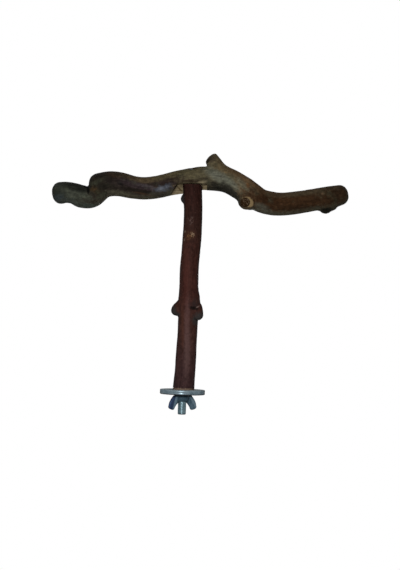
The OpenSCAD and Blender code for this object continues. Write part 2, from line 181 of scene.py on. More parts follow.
def through(table, u):
    """Smooth curve through a table's rows, at places u counted in rows. Between rows b and
    c, with a before and d after: b + (c-a)t/2 + (2a-5b+4c-d)t2/2 + (3b-a-3c+d)t3/2."""
    last = len(table) - 1
    i = np.clip(np.floor(u).astype(int), 0, last - 1)
    t = (u - i)[:, None]
    a, b = table[np.maximum(i - 1, 0)], table[i]
    c, d = table[i + 1], table[np.minimum(i + 2, last)]
    return (b + (c - a) * t / 2 + (2 * a - 5 * b + 4 * c - d) * t ** 2 / 2
            + (3 * b - a - 3 * c + d) * t ** 3 / 2)


def unit(v):
    """Vectors of the same direction and of length one."""
    return v / np.linalg.norm(v, axis=-1, keepdims=True)


def swelling(u, degrees):
    """One plus the lumps of a branch: a sum of waves round it that twist along it."""
    total = 1 + 0 * u[:, None] * degrees
    for count, strong, twist in lump_shares:
        total = total + strong * np.sin(np.radians(count * degrees + twist * u[:, None]))
    return total


def cross_line(table, u):
    """Middle of the crosspiece, its direction, its upward normal and its half sizes."""
    last = len(table) - 1
    rows = through(table, u)
    span = through(table, np.minimum(u + 0.05, last)) - through(table, np.maximum(u - 0.05, 0))
    along = unit(np.stack([span[:, 0] * CROSS_LENGTH, 0 * u, span[:, 1] * CROSS_D], 1))
    up = np.stack([-along[:, 2], 0 * u, along[:, 0]], 1)
    middle = np.stack([SCREW_X + rows[:, 0] * CROSS_LENGTH, rows[:, 2] * CROSS_D,
                       SEAT_Z + rows[:, 1] * CROSS_D], 1)
    return middle, along, up, rows[:, 3:5] * CROSS_D


def cross_rings(table, first_tip, last_tip, sides=96, per_row=8, tip_steps=14):
    """Rings of a run of the crosspiece. A ring is an ellipse with its lumps, square to the
    middle line; at the rounded tips it shrinks by (1 - t^p)^(1/p)."""
    last = len(table) - 1
    t = np.sin(np.linspace(0, np.pi / 2, tip_steps + 1)[1:]) * 0.998
    u = np.concatenate([0 * t, np.linspace(0, last, last * per_row + 1), 0 * t + last])
    run = np.ones(last * per_row + 1)
    small = (1 - t ** TIP_POWER) ** (1 / TIP_POWER)
    draw = np.concatenate([small[::-1], run, small])
    shift = np.concatenate([-first_tip * t[::-1], 0 * run, last_tip * t])
    middle, along, up, half = cross_line(table, u)
    degrees = -360.0 * np.arange(sides)[None, :] / sides
    size = draw[:, None] * swelling(u, degrees)
    rise = (half[:, :1] * size * np.cos(np.radians(degrees)))[..., None] * up[:, None, :]
    deep = (half[:, 1:] * size * np.sin(np.radians(degrees)))[..., None] * np.array([0, 1, 0])
    return (middle + along * shift[:, None])[:, None, :] + rise + deep


def stub_rings(start, heading, reach, radius, profile, sides=48, steps=40):
    """Rings of a cut twig's stub: circles along a straight axis, whose radius follows a
    smooth curve through the profile's rows of place and radius."""
    rows = through(np.array(profile), np.linspace(0, len(profile) - 1, steps))
    side = unit(np.cross(heading, [0, 1, 0] if abs(heading[1]) < 0.9 else [1, 0, 0]))
    up = np.cross(side, heading)
    turn = -2 * np.pi * np.arange(sides) / sides
    round_it = np.cos(turn)[:, None] * side + np.sin(turn)[:, None] * up
    return (start + heading * reach * rows[:, :1])[:, None, :] + (
        rows[:, 1] * radius)[:, None, None] * round_it


def closed_skin(rings):
    """Points and faces of a closed tube: quads between neighbouring rings and a fan of
    triangles to the middle of each end."""
    count, sides = rings.shape[:2]
    i, k = np.meshgrid(np.arange(count - 1), np.arange(sides), indexing="ij")
    here, on = i * sides + k, i * sides + (k + 1) % sides
    quads = np.stack([here, on, on + sides, here + sides], -1).reshape(-1, 4)
    first, last, final_ring = count * sides, count * sides + 1, (count - 1) * sides
    k = np.arange(sides)
    after = (k + 1) % sides
    fans = np.concatenate([np.stack([0 * k + first, after, k], 1),
                           np.stack([0 * k + last, final_ring + k, final_ring + after], 1)])
    points = np.concatenate([rings.reshape(-1, 3), rings[:1].mean(1), rings[-1:].mean(1)])
    return points, quads.tolist() + fans.tolist()


def outward(points, faces):
    """The faces, turned over if the volume that they enclose comes out negative."""
    halves = [[f[0], f[2], f[3]] for f in faces if len(f) == 4]
    triangles = np.array([f[:3] for f in faces] + halves)
    a, b, c = (points[triangles[:, n]] for n in range(3))
    volume = np.einsum("ij,ij->i", a, np.cross(b, c)).sum()
    return faces if volume > 0 else [f[::-1] for f in faces]


def solid(name, skins):
    """A mesh object, in metres, of one or more closed skins given in millimetres."""
    points, faces = [], []
    for skin_points, skin_faces in skins:
        start = sum(len(p) for p in points)
        points.append(skin_points)
        faces += [[start + v for v in f] for f in outward(skin_points, skin_faces)]
    mesh = bpy.data.meshes.new(name)
    mesh.from_pydata((np.concatenate(points) * MM).tolist(), [], faces)
    mesh.update()
    piece = bpy.data.objects.new(name, mesh)
    bpy.context.scene.collection.objects.link(piece)
    return piece


def finished(piece):
    """Takes the piece's modifiers into its mesh."""
    bpy.context.view_layer.update()
    view = piece.evaluated_get(bpy.context.evaluated_depsgraph_get())
    mesh = bpy.data.meshes.new_from_object(view)
    piece.modifiers.clear()
    piece.data = mesh


def grown_together(piece, voxel):
    """Joins overlapping skins into one even surface of small squares."""
    remesh = piece.modifiers.new("grow", "REMESH")
    remesh.mode = "VOXEL"
    remesh.voxel_size = voxel * MM
    remesh.use_smooth_shade = True
    finished(piece)


def read(piece, what="co"):
    """The vertices' places in millimetres, or their normals."""
    values = np.empty(len(piece.data.vertices) * 3, np.float32)
    if what == "co":
        piece.data.vertices.foreach_get("co", values)
        return values.reshape(-1, 3).astype(float) / MM
    piece.data.vertex_normals.foreach_get("vector", values)
    return values.reshape(-1, 3).astype(float)


def place(piece, points):
    """Puts the vertices at places in millimetres."""
    piece.data.vertices.foreach_set("co", (points * MM).astype(np.float32).ravel())
    piece.data.update()


def nearest(points, line, blocks=40):
    """For each point the number of the nearest sample of a line, in blocks of points."""
    return np.concatenate([np.argmin((line ** 2).sum(1) - 2 * block @ line.T, axis=1)
                           for block in np.array_split(points, blocks)])


def to_run(points, table, first_tip, last_tip):
    """Height of each point above a run's skin, and its place along, up and back."""
    u = np.linspace(0, len(table) - 1, 40 * len(table))
    middle, along, up, half = cross_line(table, u)
    n = nearest(points, middle)
    off = points - middle[n]
    over = (off * along[n]).sum(1)
    rise, deep = (off * up[n]).sum(1), off[:, 1]
    tip = np.where(over < 0, first_tip, last_tip)
    share = np.sqrt((rise / half[n, 0]) ** 2 + (deep / half[n, 1]) ** 2 + (over / tip) ** 2)
    length = np.concatenate([[0], np.cumsum(np.linalg.norm(np.diff(middle, axis=0), axis=1))])
    far = np.linalg.norm(off, axis=1)
    return far - far / np.maximum(share, 1e-6), np.stack([length[n] + over, rise, deep], 1)


def to_stub(points, start, heading, reach, radius, profile):
    """Height of each point above a stub's skin. Behind its start the stub is cut off."""
    rows = through(np.array(profile), np.linspace(0, len(profile) - 1, 80))
    off = points - start
    over = off @ heading
    out = np.linalg.norm(off - over[:, None] * heading, axis=1)
    above_side = out - np.interp(over / reach, rows[:, 0], rows[:, 1]) * radius
    return np.max([above_side, over - reach, -over], axis=0)


def lattice_noise(points, seed):
    """Smooth noise from -1 to 1: scrambled whole numbers at the corners of a grid, blended
    across each cell by the smooth step 3t2 - 2t3."""
    cell = np.floor(points).astype(np.int64)
    t = points - cell
    t = t * t * (3 - 2 * t)
    total = np.zeros(len(points))
    for corner in itertools.product((0, 1), repeat=3):
        x, y, z = (cell + np.array(corner)).T
        number = (x * 73856093 ^ y * 19349663 ^ z * 83492791 ^ seed * 40503) & 0xFFFFFFFF
        number = (number ^ number >> 16) * 0x45D9F3B & 0xFFFFFFFF
        number = (number ^ number >> 16) * 0x45D9F3B & 0xFFFFFFFF
        number = number ^ number >> 16
        weight = np.prod(np.where(np.array(corner) == 1, t, 1 - t), axis=1)
        total += weight * (number / 2 ** 31 - 1)
    return total


def bark_relief(spot, waves, pits):
    """Height of the bark's relief: a sum of noises, each with its strength, its size along,
    up and back, and its seed, less pits where one more noise climbs past its last number."""
    strong, size, seed, level = pits
    return sum(high * lattice_noise(spot / cell, n) for high, cell, n in waves) - (
        strong * np.clip(lattice_noise(spot / size, seed) - level, 0, 1))


def fillet(heights, widths):
    """How far the skin fills out between two forms: width/4 times h2, where h falls from
    one where they meet to nothing at a height of width above the second form. The width is
    that of the later form in the list."""
    order = np.argsort(heights, axis=0)
    second = np.take_along_axis(heights, order[1:2], 0)[0]
    width = np.array(widths)[np.maximum(order[0], order[1])]
    h = np.clip(1 - second / width, 0, 1)
    return h ** 2 * width / 4, h


def soften(piece, weight, rounds):
    """Evens out the skin where weight is high, by moving vertices towards their neighbours."""
    group = piece.vertex_groups.new(name="soft")
    for step in range(1, 11):
        chosen = np.nonzero(np.round(weight * 10) == step)[0]
        if len(chosen):
            group.add(chosen.tolist(), step / 10, "REPLACE")
    smooth = piece.modifiers.new("soften", "SMOOTH")
    smooth.factor = 0.5
    smooth.iterations = rounds
    smooth.vertex_group = "soft"
    finished(piece)
    piece.vertex_groups.clear()


def carved(piece, cutter):
    """Cuts one solid out of another. The cut faces take the piece's second material."""
    for material in piece.data.materials:
        cutter.data.materials.append(material)
    slots = np.ones(len(cutter.data.polygons), np.int32)
    cutter.data.polygons.foreach_set("material_index", slots)
    cut = piece.modifiers.new("cut", "BOOLEAN")
    cut.operation = "DIFFERENCE"
    cut.solver = "EXACT"
    cut.material_mode = "INDEX"
    cut.object = cutter
    finished(piece)
    bpy.data.objects.remove(cutter)


def keep(piece, name, values):
    """Stores one vector for each vertex, for the materials to read."""
    layer = piece.data.attributes.new(name, "FLOAT_VECTOR", "POINT")
    layer.data.foreach_set("vector", values.astype(np.float32).ravel())


def shade(piece, flat_slot=-1):
    """Smooth shading, except on the faces of one material slot, if one is given."""
    slots = np.empty(len(piece.data.polygons), np.int32)
    piece.data.polygons.foreach_get("material_index", slots)
    piece.data.polygons.foreach_set("use_smooth", slots != flat_slot)


def cross_heading(u, shares):
    """Direction on the crosspiece from its shares along, up and back."""
    _, along, up, _ = cross_line(cross_shares, np.array([u]))
    return unit(along[0] * shares[0] + up[0] * shares[1] + np.array([0, shares[2], 0]))


def on_cross(u, drop=0.0):
    """Middle of the crosspiece at a place, less a drop."""
    return cross_line(cross_shares, np.array([u]))[0][0] - np.array([0, 0, drop])


KNOT_R = 5.5
KNOT_REACH = 12.8
KNOT_HOLLOW_R = 3.8
KNOT_HOLLOW_OFF = 1.4
KNOT_HOLLOW_DEPTH = 1.2
# Twigs and knots: where each starts and points to, its reach and radius, and its profile.
stub = (on_cross(10.431), cross_heading(10.431, (-0.94, 0.335, -0.06)), 29.3, 5.1,
        [(0.05, 1.60), (0.38, 1.14), (0.57, 1.00), (0.78, 1.03),
         (0.90, 1.09), (0.965, 1.03), (0.99, 0.76), (1.00, 0.46)])
knot = (on_cross(11.72, 5.4), cross_heading(11.72, (0.20, -0.32, -0.93)), KNOT_REACH, KNOT_R,
        [(0.10, 1.34), (0.60, 1.30), (0.80, 1.20), (0.93, 1.10), (1.00, 1.00)])
nub = (on_cross(18.164), cross_heading(18.164, (-0.31, -1.00, -0.10)), 13.8, 3.8,
       [(0.10, 2.30), (0.30, 2.30), (0.48, 2.08), (0.64, 2.00),
        (0.78, 1.22), (0.90, 0.86), (0.97, 0.50), (1.00, 0.22)])

# The bark is thick at the heel of the stub and at the chin of the knot.
BARK_SWELL = 0.25
blunt = [(0.00, 1.00), (0.30, 1.00), (0.60, 0.93), (0.82, 0.72), (0.94, 0.45), (1.00, 0.15)]
heel = (np.array([19.9, -1.0, 190.0]), np.array([0, 0, 1.0]), 10.7, 4.6, blunt)
chin = (np.array([52.8, -5.0, 160.8]), unit(np.array([0.34, 0.05, -0.94])), 4.9, 4.2, blunt)
cross_growths = (stub, knot, nub, heel, chin)
# How wide the bark fills out at the fold, and at the foot of each growth.
cross_fillets = (1.0, 1.2, 2.6, 2.4, 5.2, 3.2, 2.0)
cross_bark = bpy.data.materials.new("cross_bark")
bare_wood = bpy.data.materials.new("bare_wood")
cross = solid("crosspiece", [
    closed_skin(cross_rings(club_shares, CLUB_TIP, HUMP_TIP)),
    closed_skin(cross_rings(cross_shares, HUMP_TIP, RIGHT_TIP)),
    *[closed_skin(stub_rings(*form)) for form in cross_growths]])
grown_together(cross, 0.49)
cross.data.materials.clear()
cross.data.materials.append(cross_bark)
cross.data.materials.append(bare_wood)
points = read(cross)
heights = np.stack([to_run(points, cross_shares, HUMP_TIP, RIGHT_TIP)[0],
                    to_run(points, club_shares, CLUB_TIP, HUMP_TIP)[0],
                    *[to_stub(points, *form) for form in cross_growths]])
fill, meeting = fillet(heights, cross_fillets)
place(cross, points + read(cross, "normal") * (fill + BARK_SWELL)[:, None])
soften(cross, meeting, 16)


# The club's patterns are read this far from the main run's, so that they aren't the same.
CLUB_APART = 120


def along_bark(points):
    """Place of each point of the crosspiece along, up and back of its nearest run, and how
    far up and back it faces."""
    main_height, main_place = to_run(points, cross_shares, HUMP_TIP, RIGHT_TIP)
    club_height, club_place = to_run(points, club_shares, CLUB_TIP, HUMP_TIP)
    on_club = (np.abs(club_height) < np.abs(main_height))[:, None]
    spot = np.where(on_club, club_place - np.array([CLUB_APART, 0, 0]), main_place)
    return spot, unit(spot * np.array([0, 1, 1]))


points = read(cross)
spot, _ = along_bark(points)
relief = bark_relief(spot, [(0.16, [11, 6, 6], 1), (0.11, [9, 2.0, 2.0], 2),
                            (0.07, [3.5, 1.0, 1.0], 3)], (0.30, [2.0, 2.8, 2.8], 4, 0.5))
place(cross, points + read(cross, "normal") * relief[:, None])

# The housing takes the upright's tongue, with some room on either side of it.
TONGUE_H = 8.6
TONGUE_HALF = 7.744
HOUSING_LEAN = 5.0
HOUSING_BACK = SCREW_Y + 5.2
CEILING_CLIMB = 2.6
HOUSING_LEFT = SCREW_X - TONGUE_HALF - 5.2
HOUSING_RIGHT = SCREW_X + TONGUE_HALF + 4.6
housing_low = SEAT_Z - CROSS_D
lean = HOUSING_LEAN / TONGUE_H


def housing_ring(y, ceiling):
    """Outline of the housing at one depth: left wall that leans out below, right wall
    upright, and a ceiling."""
    below = 0.3
    return [[HOUSING_LEFT - lean * CROSS_D, y, housing_low], [HOUSING_RIGHT, y, housing_low],
            [HOUSING_RIGHT, y, ceiling], [HOUSING_LEFT, y, ceiling],
            [HOUSING_LEFT - lean * below, y, SEAT_Z - below]]


carved(cross, solid("housing_cut", [closed_skin(np.array([
    housing_ring(-CROSS_D - 1, SEAT_Z + CEILING_CLIMB), housing_ring(SCREW_Y, SEAT_Z),
    housing_ring(HOUSING_BACK, SEAT_Z)]))]))


def turned(profile, sides, centre=(0, 0)):
    """Rings of a solid of revolution about an upright axis: each row of the profile is a
    radius and a height."""
    turn = 2 * np.pi * np.arange(sides) / sides
    r, z = np.array(profile, float).T
    return np.stack([centre[0] + r[:, None] * np.cos(turn), centre[1] + r[:, None] * np.sin(turn),
                     z[:, None] + 0 * turn], -1)


# The screw's hole goes right through, with a counterbore 1 mm deep for its head.
SCREW_R = 2.1
SCREW_HEAD_R = 4.1
ROOM = 0.05
middle, _, _, half = cross_line(cross_shares, np.array([7.4]))
SCREW_TOP = middle[0, 2] + half[0, 0] - 1.0
carved(cross, solid("screw_cut", [closed_skin(turned(
    [(SCREW_R + ROOM, SEAT_Z - 6), (SCREW_R + ROOM, SCREW_TOP - 2),
     (SCREW_HEAD_R + ROOM, SCREW_TOP), (SCREW_HEAD_R + ROOM, SCREW_TOP + 8)],
    64, (SCREW_X, SCREW_Y)))]))
# The knot's hollow lies down and to the left of its middle.
hollow_start = knot[0] + unit(np.cross(knot[1], [0.45, 0, 0.9])) * KNOT_HOLLOW_OFF
hollow_rings = stub_rings(hollow_start, knot[1], KNOT_REACH, KNOT_HOLLOW_R,
                          [(1 - KNOT_HOLLOW_DEPTH / KNOT_REACH, 0.92), (1.1, 1.22)], steps=2)
carved(cross, solid("hollow_cut", [closed_skin(hollow_rings)]))
shade(cross, 1)
points = read(cross)
spot, facing = along_bark(points)
keep(cross, "bark_place", spot * MM)
keep(cross, "bark_facing", facing)


def paint(r, g, b):
    """A colour as a screen shows it, from 0 to 255, made a shader's linear colour."""
    shares = np.array([r, g, b]) / 255
    linear = np.where(shares <= 0.04045, shares / 12.92, ((shares + 0.055) / 1.055) ** 2.4)
    return (*linear.tolist(), 1.0)


def mixed(tree, factor, a, b, way="MIX"):
    """Output of a node that mixes two colours."""
    return wire(tree, "ShaderNodeMix", {"data_type": "RGBA", "blend_type": way},
                {0: factor, 6: a, 7: b}).outputs[2]


def noise(tree, at, scale, detail=4.0, rough=0.6):
    """Output of a noise texture, from 0 to 1."""
    return wire(tree, "ShaderNodeTexNoise", {},
                {"Vector": at, "Scale": scale, "Detail": detail, "Roughness": rough}).outputs[0]


def ramp(tree, factor, stops):
    """Output of a colour ramp through stops of place and colour."""
    node = wire(tree, "ShaderNodeValToRGB", {}, {"Fac": factor})
    for n, (at, colour) in enumerate(stops):
        stop = node.color_ramp.elements[n] if n < 2 else node.color_ramp.elements.new(at)
        stop.position = at
        stop.color = colour
    return node.outputs[0]


def between(tree, value, low, high, to_low=0.0, to_high=1.0):
    """Output that climbs smoothly from to_low to to_high as the value goes from low to high."""
    return wire(tree, "ShaderNodeMapRange", {"interpolation_type": "SMOOTHSTEP"},
                {0: value, 1: low, 2: high, 3: to_low, 4: to_high}).outputs[0]


def apart(tree, a, b):
    """Output of the distance between two places."""
    return wire(tree, "ShaderNodeVectorMath", {"operation": "DISTANCE"},
                {0: a, 1: b}).outputs["Value"]


def group(name, inputs, outputs):
    """A new shader node group with its sockets, its input node and its output node."""
    tree = bpy.data.node_groups.new(name, "ShaderNodeTree")
    for way, sockets in (("INPUT", inputs), ("OUTPUT", outputs)):
        for socket, kind in sockets:
            tree.interface.new_socket(socket, in_out=way, socket_type=kind)
    return tree, tree.nodes.new("NodeGroupInput").outputs, tree.nodes.new("NodeGroupOutput").inputs


def placed(tree, made, inputs):
    """Outputs of a node group placed in a material."""
    return wire(tree, "ShaderNodeGroup", {"node_tree": made}, inputs).outputs


FLOAT, VECTOR = "NodeSocketFloat", "NodeSocketVector"

bark_streaks, given, put = group(
    "bark_streaks", [("Place", VECTOR), ("Along", FLOAT), ("Across", FLOAT)],
    [("Streak", FLOAT), ("Fine", FLOAT), ("Height", FLOAT)])
cell = wire(bark_streaks, "ShaderNodeCombineXYZ", {}, {
    0: given["Along"], 1: given["Across"], 2: given["Across"]}).outputs[0]
stretched = wire(bark_streaks, "ShaderNodeVectorMath", {"operation": "DIVIDE"},
                 {0: given["Place"], 1: cell}).outputs[0]
streak = noise(bark_streaks, stretched, 1.0, 5.0, 0.62)
fine = noise(bark_streaks, stretched, 3.7, 4.0, 0.7)
bark_streaks.links.new(streak, put["Streak"])
bark_streaks.links.new(fine, put["Fine"])
bark_streaks.links.new(maths(bark_streaks, "MULTIPLY_ADD", fine, 0.5, streak), put["Height"])

bark_patch, given, put = group(
    "bark_patch", [("Place", VECTOR), ("Centre", VECTOR), ("Size", VECTOR), ("Slant", FLOAT),
                   ("Edge", FLOAT), ("Ragged", FLOAT), ("Soft", FLOAT)], [("Mask", FLOAT)])
off = wire(bark_patch, "ShaderNodeVectorMath", {"operation": "SUBTRACT"},
           {0: given["Place"], 1: given["Centre"]}).outputs[0]
slanted = wire(bark_patch, "ShaderNodeVectorRotate", {"rotation_type": "Y_AXIS"},
               {"Vector": off, "Angle": given["Slant"]}).outputs[0]
shares = wire(bark_patch, "ShaderNodeVectorMath", {"operation": "DIVIDE"},
              {0: slanted, 1: given["Size"]}).outputs[0]
far = wire(bark_patch, "ShaderNodeVectorMath", {"operation": "LENGTH"},
           {0: shares}).outputs["Value"]
far = maths(bark_patch, "MULTIPLY_ADD", given["Edge"], given["Ragged"], far)
low = maths(bark_patch, "SUBTRACT", 1.0, given["Soft"])
high = maths(bark_patch, "ADD", 1.0, given["Soft"])
bark_patch.links.new(between(bark_patch, far, low, high, 1.0, 0.0), put["Mask"])


def patch(tree, here, edge, centre, size, slant, ragged, soft):
    """Mask of one patch, given in millimetres and degrees."""
    centre, size = (tuple(c * MM for c in values) for values in (centre, size))
    return placed(tree, bark_patch, {
        "Place": here, "Centre": centre, "Size": size, "Slant": math.radians(slant),
        "Edge": edge, "Ragged": ragged, "Soft": soft})[0]


def painted(tree, colour, mask, strong, tint):
    """A colour with another laid over it where the mask is high."""
    return mixed(tree, maths(tree, "MULTIPLY", mask, strong), colour, paint(*tint))


def toned(tree, colour, strong, value, tones):
    """A colour multiplied by a ramp of tones that follows a value."""
    return mixed(tree, strong, colour, ramp(tree, value, [
        (at, (*tone, 1)) for at, tone in tones]), "MULTIPLY")


def ragged_edge(tree, here):
    """Output of the noise, from -0.5 to 0.5, that makes the edges of patches ragged."""
    return maths(tree, "SUBTRACT", noise(tree, here, 420.0, 4.0, 0.65), 0.5)


def bumped(tree, shader, height, strong, deep):
    """Roughens the skin of a material by a height."""
    bump = wire(tree, "ShaderNodeBump", {}, {
        "Strength": strong, "Distance": deep, "Height": height})
    tree.links.new(bump.outputs[0], shader.inputs["Normal"])


# Colours along the crosspiece from its left tip to its right one: its crown, its flanks
# and its belly. A place is a share of the length from CROSS_START on.
CROSS_START = -0.120
CROSS_SPAN = 0.260
crown = [(0.02, (50, 52, 47)), (0.11, (38, 39, 35)), (0.16, (36, 33, 28)), (0.21, (46, 40, 33)),
         (0.28, (70, 59, 44)), (0.34, (84, 73, 52)), (0.44, (84, 77, 56)), (0.53, (84, 77, 58)),
         (0.60, (92, 76, 54)), (0.67, (88, 67, 46)), (0.74, (70, 55, 40)), (0.86, (72, 61, 46)),
         (0.98, (48, 40, 30))]
flank = [(0.02, (52, 55, 48)), (0.11, (56, 58, 50)), (0.15, (46, 42, 35)), (0.20, (38, 34, 28)),
         (0.26, (42, 35, 32)), (0.33, (44, 36, 34)), (0.42, (50, 41, 34)), (0.46, (82, 75, 56)),
         (0.54, (80, 74, 57)), (0.61, (86, 78, 60)), (0.655, (76, 57, 40)), (0.69, (50, 33, 20)),
         (0.76, (51, 34, 20)), (0.84, (53, 36, 22)), (0.93, (44, 30, 18)), (0.99, (44, 31, 22))]
belly = [(0.02, (56, 60, 57)), (0.12, (58, 62, 55)), (0.20, (66, 62, 52)), (0.31, (62, 57, 47)),
         (0.40, (58, 54, 46)), (0.46, (66, 59, 45)), (0.54, (40, 37, 31)), (0.62, (42, 40, 34)),
         (0.68, (72, 69, 58)), (0.80, (64, 59, 47)), (0.92, (58, 53, 42)), (1.00, (44, 40, 33))]


def coloured(tree, value, table):
    """Output of a ramp through a table's colours."""
    return ramp(tree, value, [(at, paint(*colour)) for at, colour in table])


def shader_of(material, roughness, specular=0.0):
    """A material's tree, its Principled node and the place that its patterns read. Bark and
    dull zinc have next to no clear film on them, which keeps glare off their edges."""
    material.use_nodes = True
    tree = material.node_tree
    shader = tree.nodes["Principled BSDF"]
    shader.inputs["Roughness"].default_value = roughness
    shader.inputs["Specular IOR Level"].default_value = specular
    here = wire(tree, "ShaderNodeTexCoord", {}, {}).outputs["Object"]
    return tree, shader, here


tree, shader, here = shader_of(cross_bark, 0.7, 0.016)
spot = wire(tree, "ShaderNodeAttribute", {"attribute_name": "bark_place"}, {}).outputs["Vector"]
facing = wire(tree, "ShaderNodeAttribute", {"attribute_name": "bark_facing"}, {}).outputs["Vector"]
coarse = noise(tree, spot, 110.0, 4.0, 0.6)
edge = ragged_edge(tree, here)
streaks = placed(tree, bark_streaks, {"Place": spot, "Along": 0.006, "Across": 0.0014})
across, _, high_up = wire(tree, "ShaderNodeSeparateXYZ", {}, {0: here}).outputs
wandering = maths(tree, "MULTIPLY_ADD", edge, 0.03, across)
length_share = maths(tree, "DIVIDE", maths(tree, "SUBTRACT", wandering, CROSS_START), CROSS_SPAN)
up = wire(tree, "ShaderNodeSeparateXYZ", {}, {0: facing}).outputs[1]
ragged_up = maths(tree, "MULTIPLY_ADD", edge, 0.9, up)
colour = mixed(tree, between(tree, ragged_up, 0.30, 0.78),
               coloured(tree, length_share, flank), coloured(tree, length_share, crown))
colour = mixed(tree, between(tree, ragged_up, -0.45, -0.85), colour,
               coloured(tree, length_share, belly))

# Stains, lichen and worn places on the front of the crosspiece, and some painted light: a
# painted sheen in grey-blue patches near the middle, and painted shade in the fold by the club.
# In millimetres. In a row: the centre across and up, half the length and half the height, the
# slant in degrees, how ragged and how soft the edge is, how strong it is, and its colour.
stains_and_painted_light = [
    (-109.4, 161.7, 5, 3.2, 0, 1.6, 0.5, 0.8, (44, 51, 55)),
    (-96.0, 170.2, 9, 4.0, -14, 1.6, 0.4, 0.8, (30, 31, 27)),
    (-90.4, 167.4, 3, 2.0, -20, 1.6, 0.4, 0.7, (30, 31, 27)),
    (-109.5, 165.0, 4.4, 3.6, 10, 1.8, 0.6, 0.6, (26, 29, 25)),
    (-98.5, 162.6, 4, 1.8, -10, 1.8, 0.5, 0.3, (76, 80, 70)),
    (-114.2, 166.1, 1.8, 6, 0, 1, 0.4, 0.6, (30, 32, 28)),
    (-83.4, 154.7, 6, 2.0, 0, 1.8, 0.4, 0.6, (60, 68, 62)),
    (-86.5, 162.6, 6, 2.6, -24, 1.8, 0.5, 0.5, (66, 70, 60)),
    (-80.0, 169.3, 3.0, 2.4, 30, 2.4, 0.5, 0.8, (66, 51, 33)),
    (-76.8, 166.8, 2.6, 2.0, 30, 1.8, 0.4, 0.7, (44, 37, 25)),
    (-77.5, 172.2, 5, 2.0, 8, 1.8, 0.5, 0.6, (32, 29, 23)),
    (-70.5, 171.8, 7, 2.2, 4, 2.0, 0.5, 0.7, (30, 28, 23)),
    (-80.4, 178.0, 1.6, 3.0, 20, 1.8, 0.5, 0.5, (58, 52, 40)),
    (-76.4, 178.4, 5.6, 5.6, 0, 1.6, 0.5, 0.65, (29, 25, 21)),
    (-64.9, 181.1, 7, 1.4, -24, 2.0, 0.5, 0.6, (54, 41, 31)),
    (-62.9, 176.2, 9, 3.2, -16, 1.4, 0.5, 0.7, (38, 32, 30)),
    (-44.5, 173.3, 16, 3.0, -18, 0.9, 0.45, 0.85, (46, 37, 39)),
    (-40.1, 168.5, 16, 1.8, -8, 1.0, 0.4, 0.9, (28, 23, 19)),
    (-57.9, 174.3, 2.4, 1.3, -10, 1.4, 0.4, 0.8, (22, 19, 19)),
    (-37.9, 166.4, 9, 0.8, -8, 0.9, 0.5, 0.6, (64, 47, 34)),
    (-55.5, 165.9, 12, 2.6, -6, 1.4, 0.5, 0.6, (68, 65, 52)),
    (-38.3, 178.1, 7, 2.4, -10, 1.6, 0.5, 0.7, (84, 71, 53)),
    (-19.1, 175.8, 17, 1.5, 4, 1.1, 0.4, 0.9, (40, 32, 29)),
    # Painted sheen: the next four grey-violet and grey-blue patches.
    (-34.6, 172.6, 8, 1.6, -12, 1.4, 0.5, 0.6, (66, 60, 62)),
    (-21.2, 171.8, 7.4, 2.7, 16, 2.0, 0.5, 0.9, (68, 71, 79)),
    (-23.0, 171.4, 1.9, 1.3, 20, 1.4, 0.5, 0.7, (98, 102, 112)),
    (-18.0, 173.2, 1.5, 0.9, 20, 1.4, 0.5, 0.6, (94, 98, 106)),
    (-25.5, 166.8, 9, 1.6, 2, 1.4, 0.5, 0.7, (54, 51, 45)),
    (1.6, 178.4, 9, 1.3, 0, 1.1, 0.4, 0.9, (42, 31, 24)),
    (9.5, 180.4, 9, 1.0, 10, 1.2, 0.5, 0.6, (50, 43, 32)),
    (11.4, 177.9, 4.4, 1.0, 8, 0.8, 0.3, 0.95, (116, 105, 84)),
    (26.3, 181.5, 16, 4.6, -33, 0.9, 0.5, 0.9, (94, 94, 82)),
    (35.0, 178.6, 9, 2.2, -38, 1.2, 0.6, 0.4, (106, 107, 96)),
    (22.4, 184.2, 6, 2.0, -20, 1.2, 0.6, 0.35, (102, 103, 91)),
    (27.3, 182.6, 3, 0.5, -20, 1.4, 0.5, 0.5, (62, 58, 50)),
    (15.9, 196.5, 3.6, 1.3, 54, 0.8, 0.4, 0.9, (24, 22, 17)),
    (19.4, 197.6, 3.4, 2.2, 40, 1.2, 0.4, 0.8, (56, 48, 38)),
    (27.6, 173.6, 15, 3.0, -24, 1.2, 0.4, 0.9, (32, 30, 26)),
    (34.5, 173.4, 8, 2.0, -38, 1.4, 0.5, 0.75, (40, 38, 33)),
    (46.6, 182.2, 16, 3.4, -36, 1.6, 0.5, 0.5, (98, 79, 57)),
    (45.8, 176.6, 7, 2.6, -42, 1.4, 0.5, 0.7, (102, 97, 80)),
    (49.8, 176.2, 1.8, 2.2, 0, 2.0, 0.4, 0.7, (92, 62, 36)),
    (58.4, 171.8, 8, 4, -30, 1.6, 0.5, 0.5, (54, 37, 23)),
    (62.7, 158.5, 7, 3.0, -24, 1.6, 0.5, 0.7, (70, 70, 61)),
    (69.0, 163.8, 10, 4.4, -16, 1.4, 0.6, 0.65, (38, 23, 12)),
    (85.7, 163.4, 20, 4, 4, 1.8, 0.6, 0.5, (58, 38, 23)),
    (89.7, 158.9, 16, 2.2, 4, 1.8, 0.5, 0.5, (36, 25, 17)),
    (93.1, 170.6, 18, 1.8, 8, 1.4, 0.5, 0.5, (72, 63, 48)),
    (113.1, 171.2, 1.2, 1.0, 0, 1.6, 0.5, 0.7, (96, 74, 55)),
    (78.8, 160.9, 1.6, 1.0, 0, 1.4, 0.5, 0.4, (70, 52, 38)),
    (127.8, 169.4, 7, 6, 0, 1.6, 0.5, 0.7, (44, 32, 21)),
    # Painted shade in the fold between the club and the hump: the next two.
    (-86.4, 171.8, 1.7, 2.4, -30, 0.8, 0.35, 0.95, (12, 12, 10)),
    (-84.7, 167.8, 1.2, 3.6, 8, 1.2, 0.4, 0.95, (14, 14, 12)),
    (116.4, 156.6, 7.5, 2.9, 8, 0.8, 0.35, 0.95, (18, 18, 14))]
FRONT_Y = -7.0
FRONT_DEPTH = 9.0
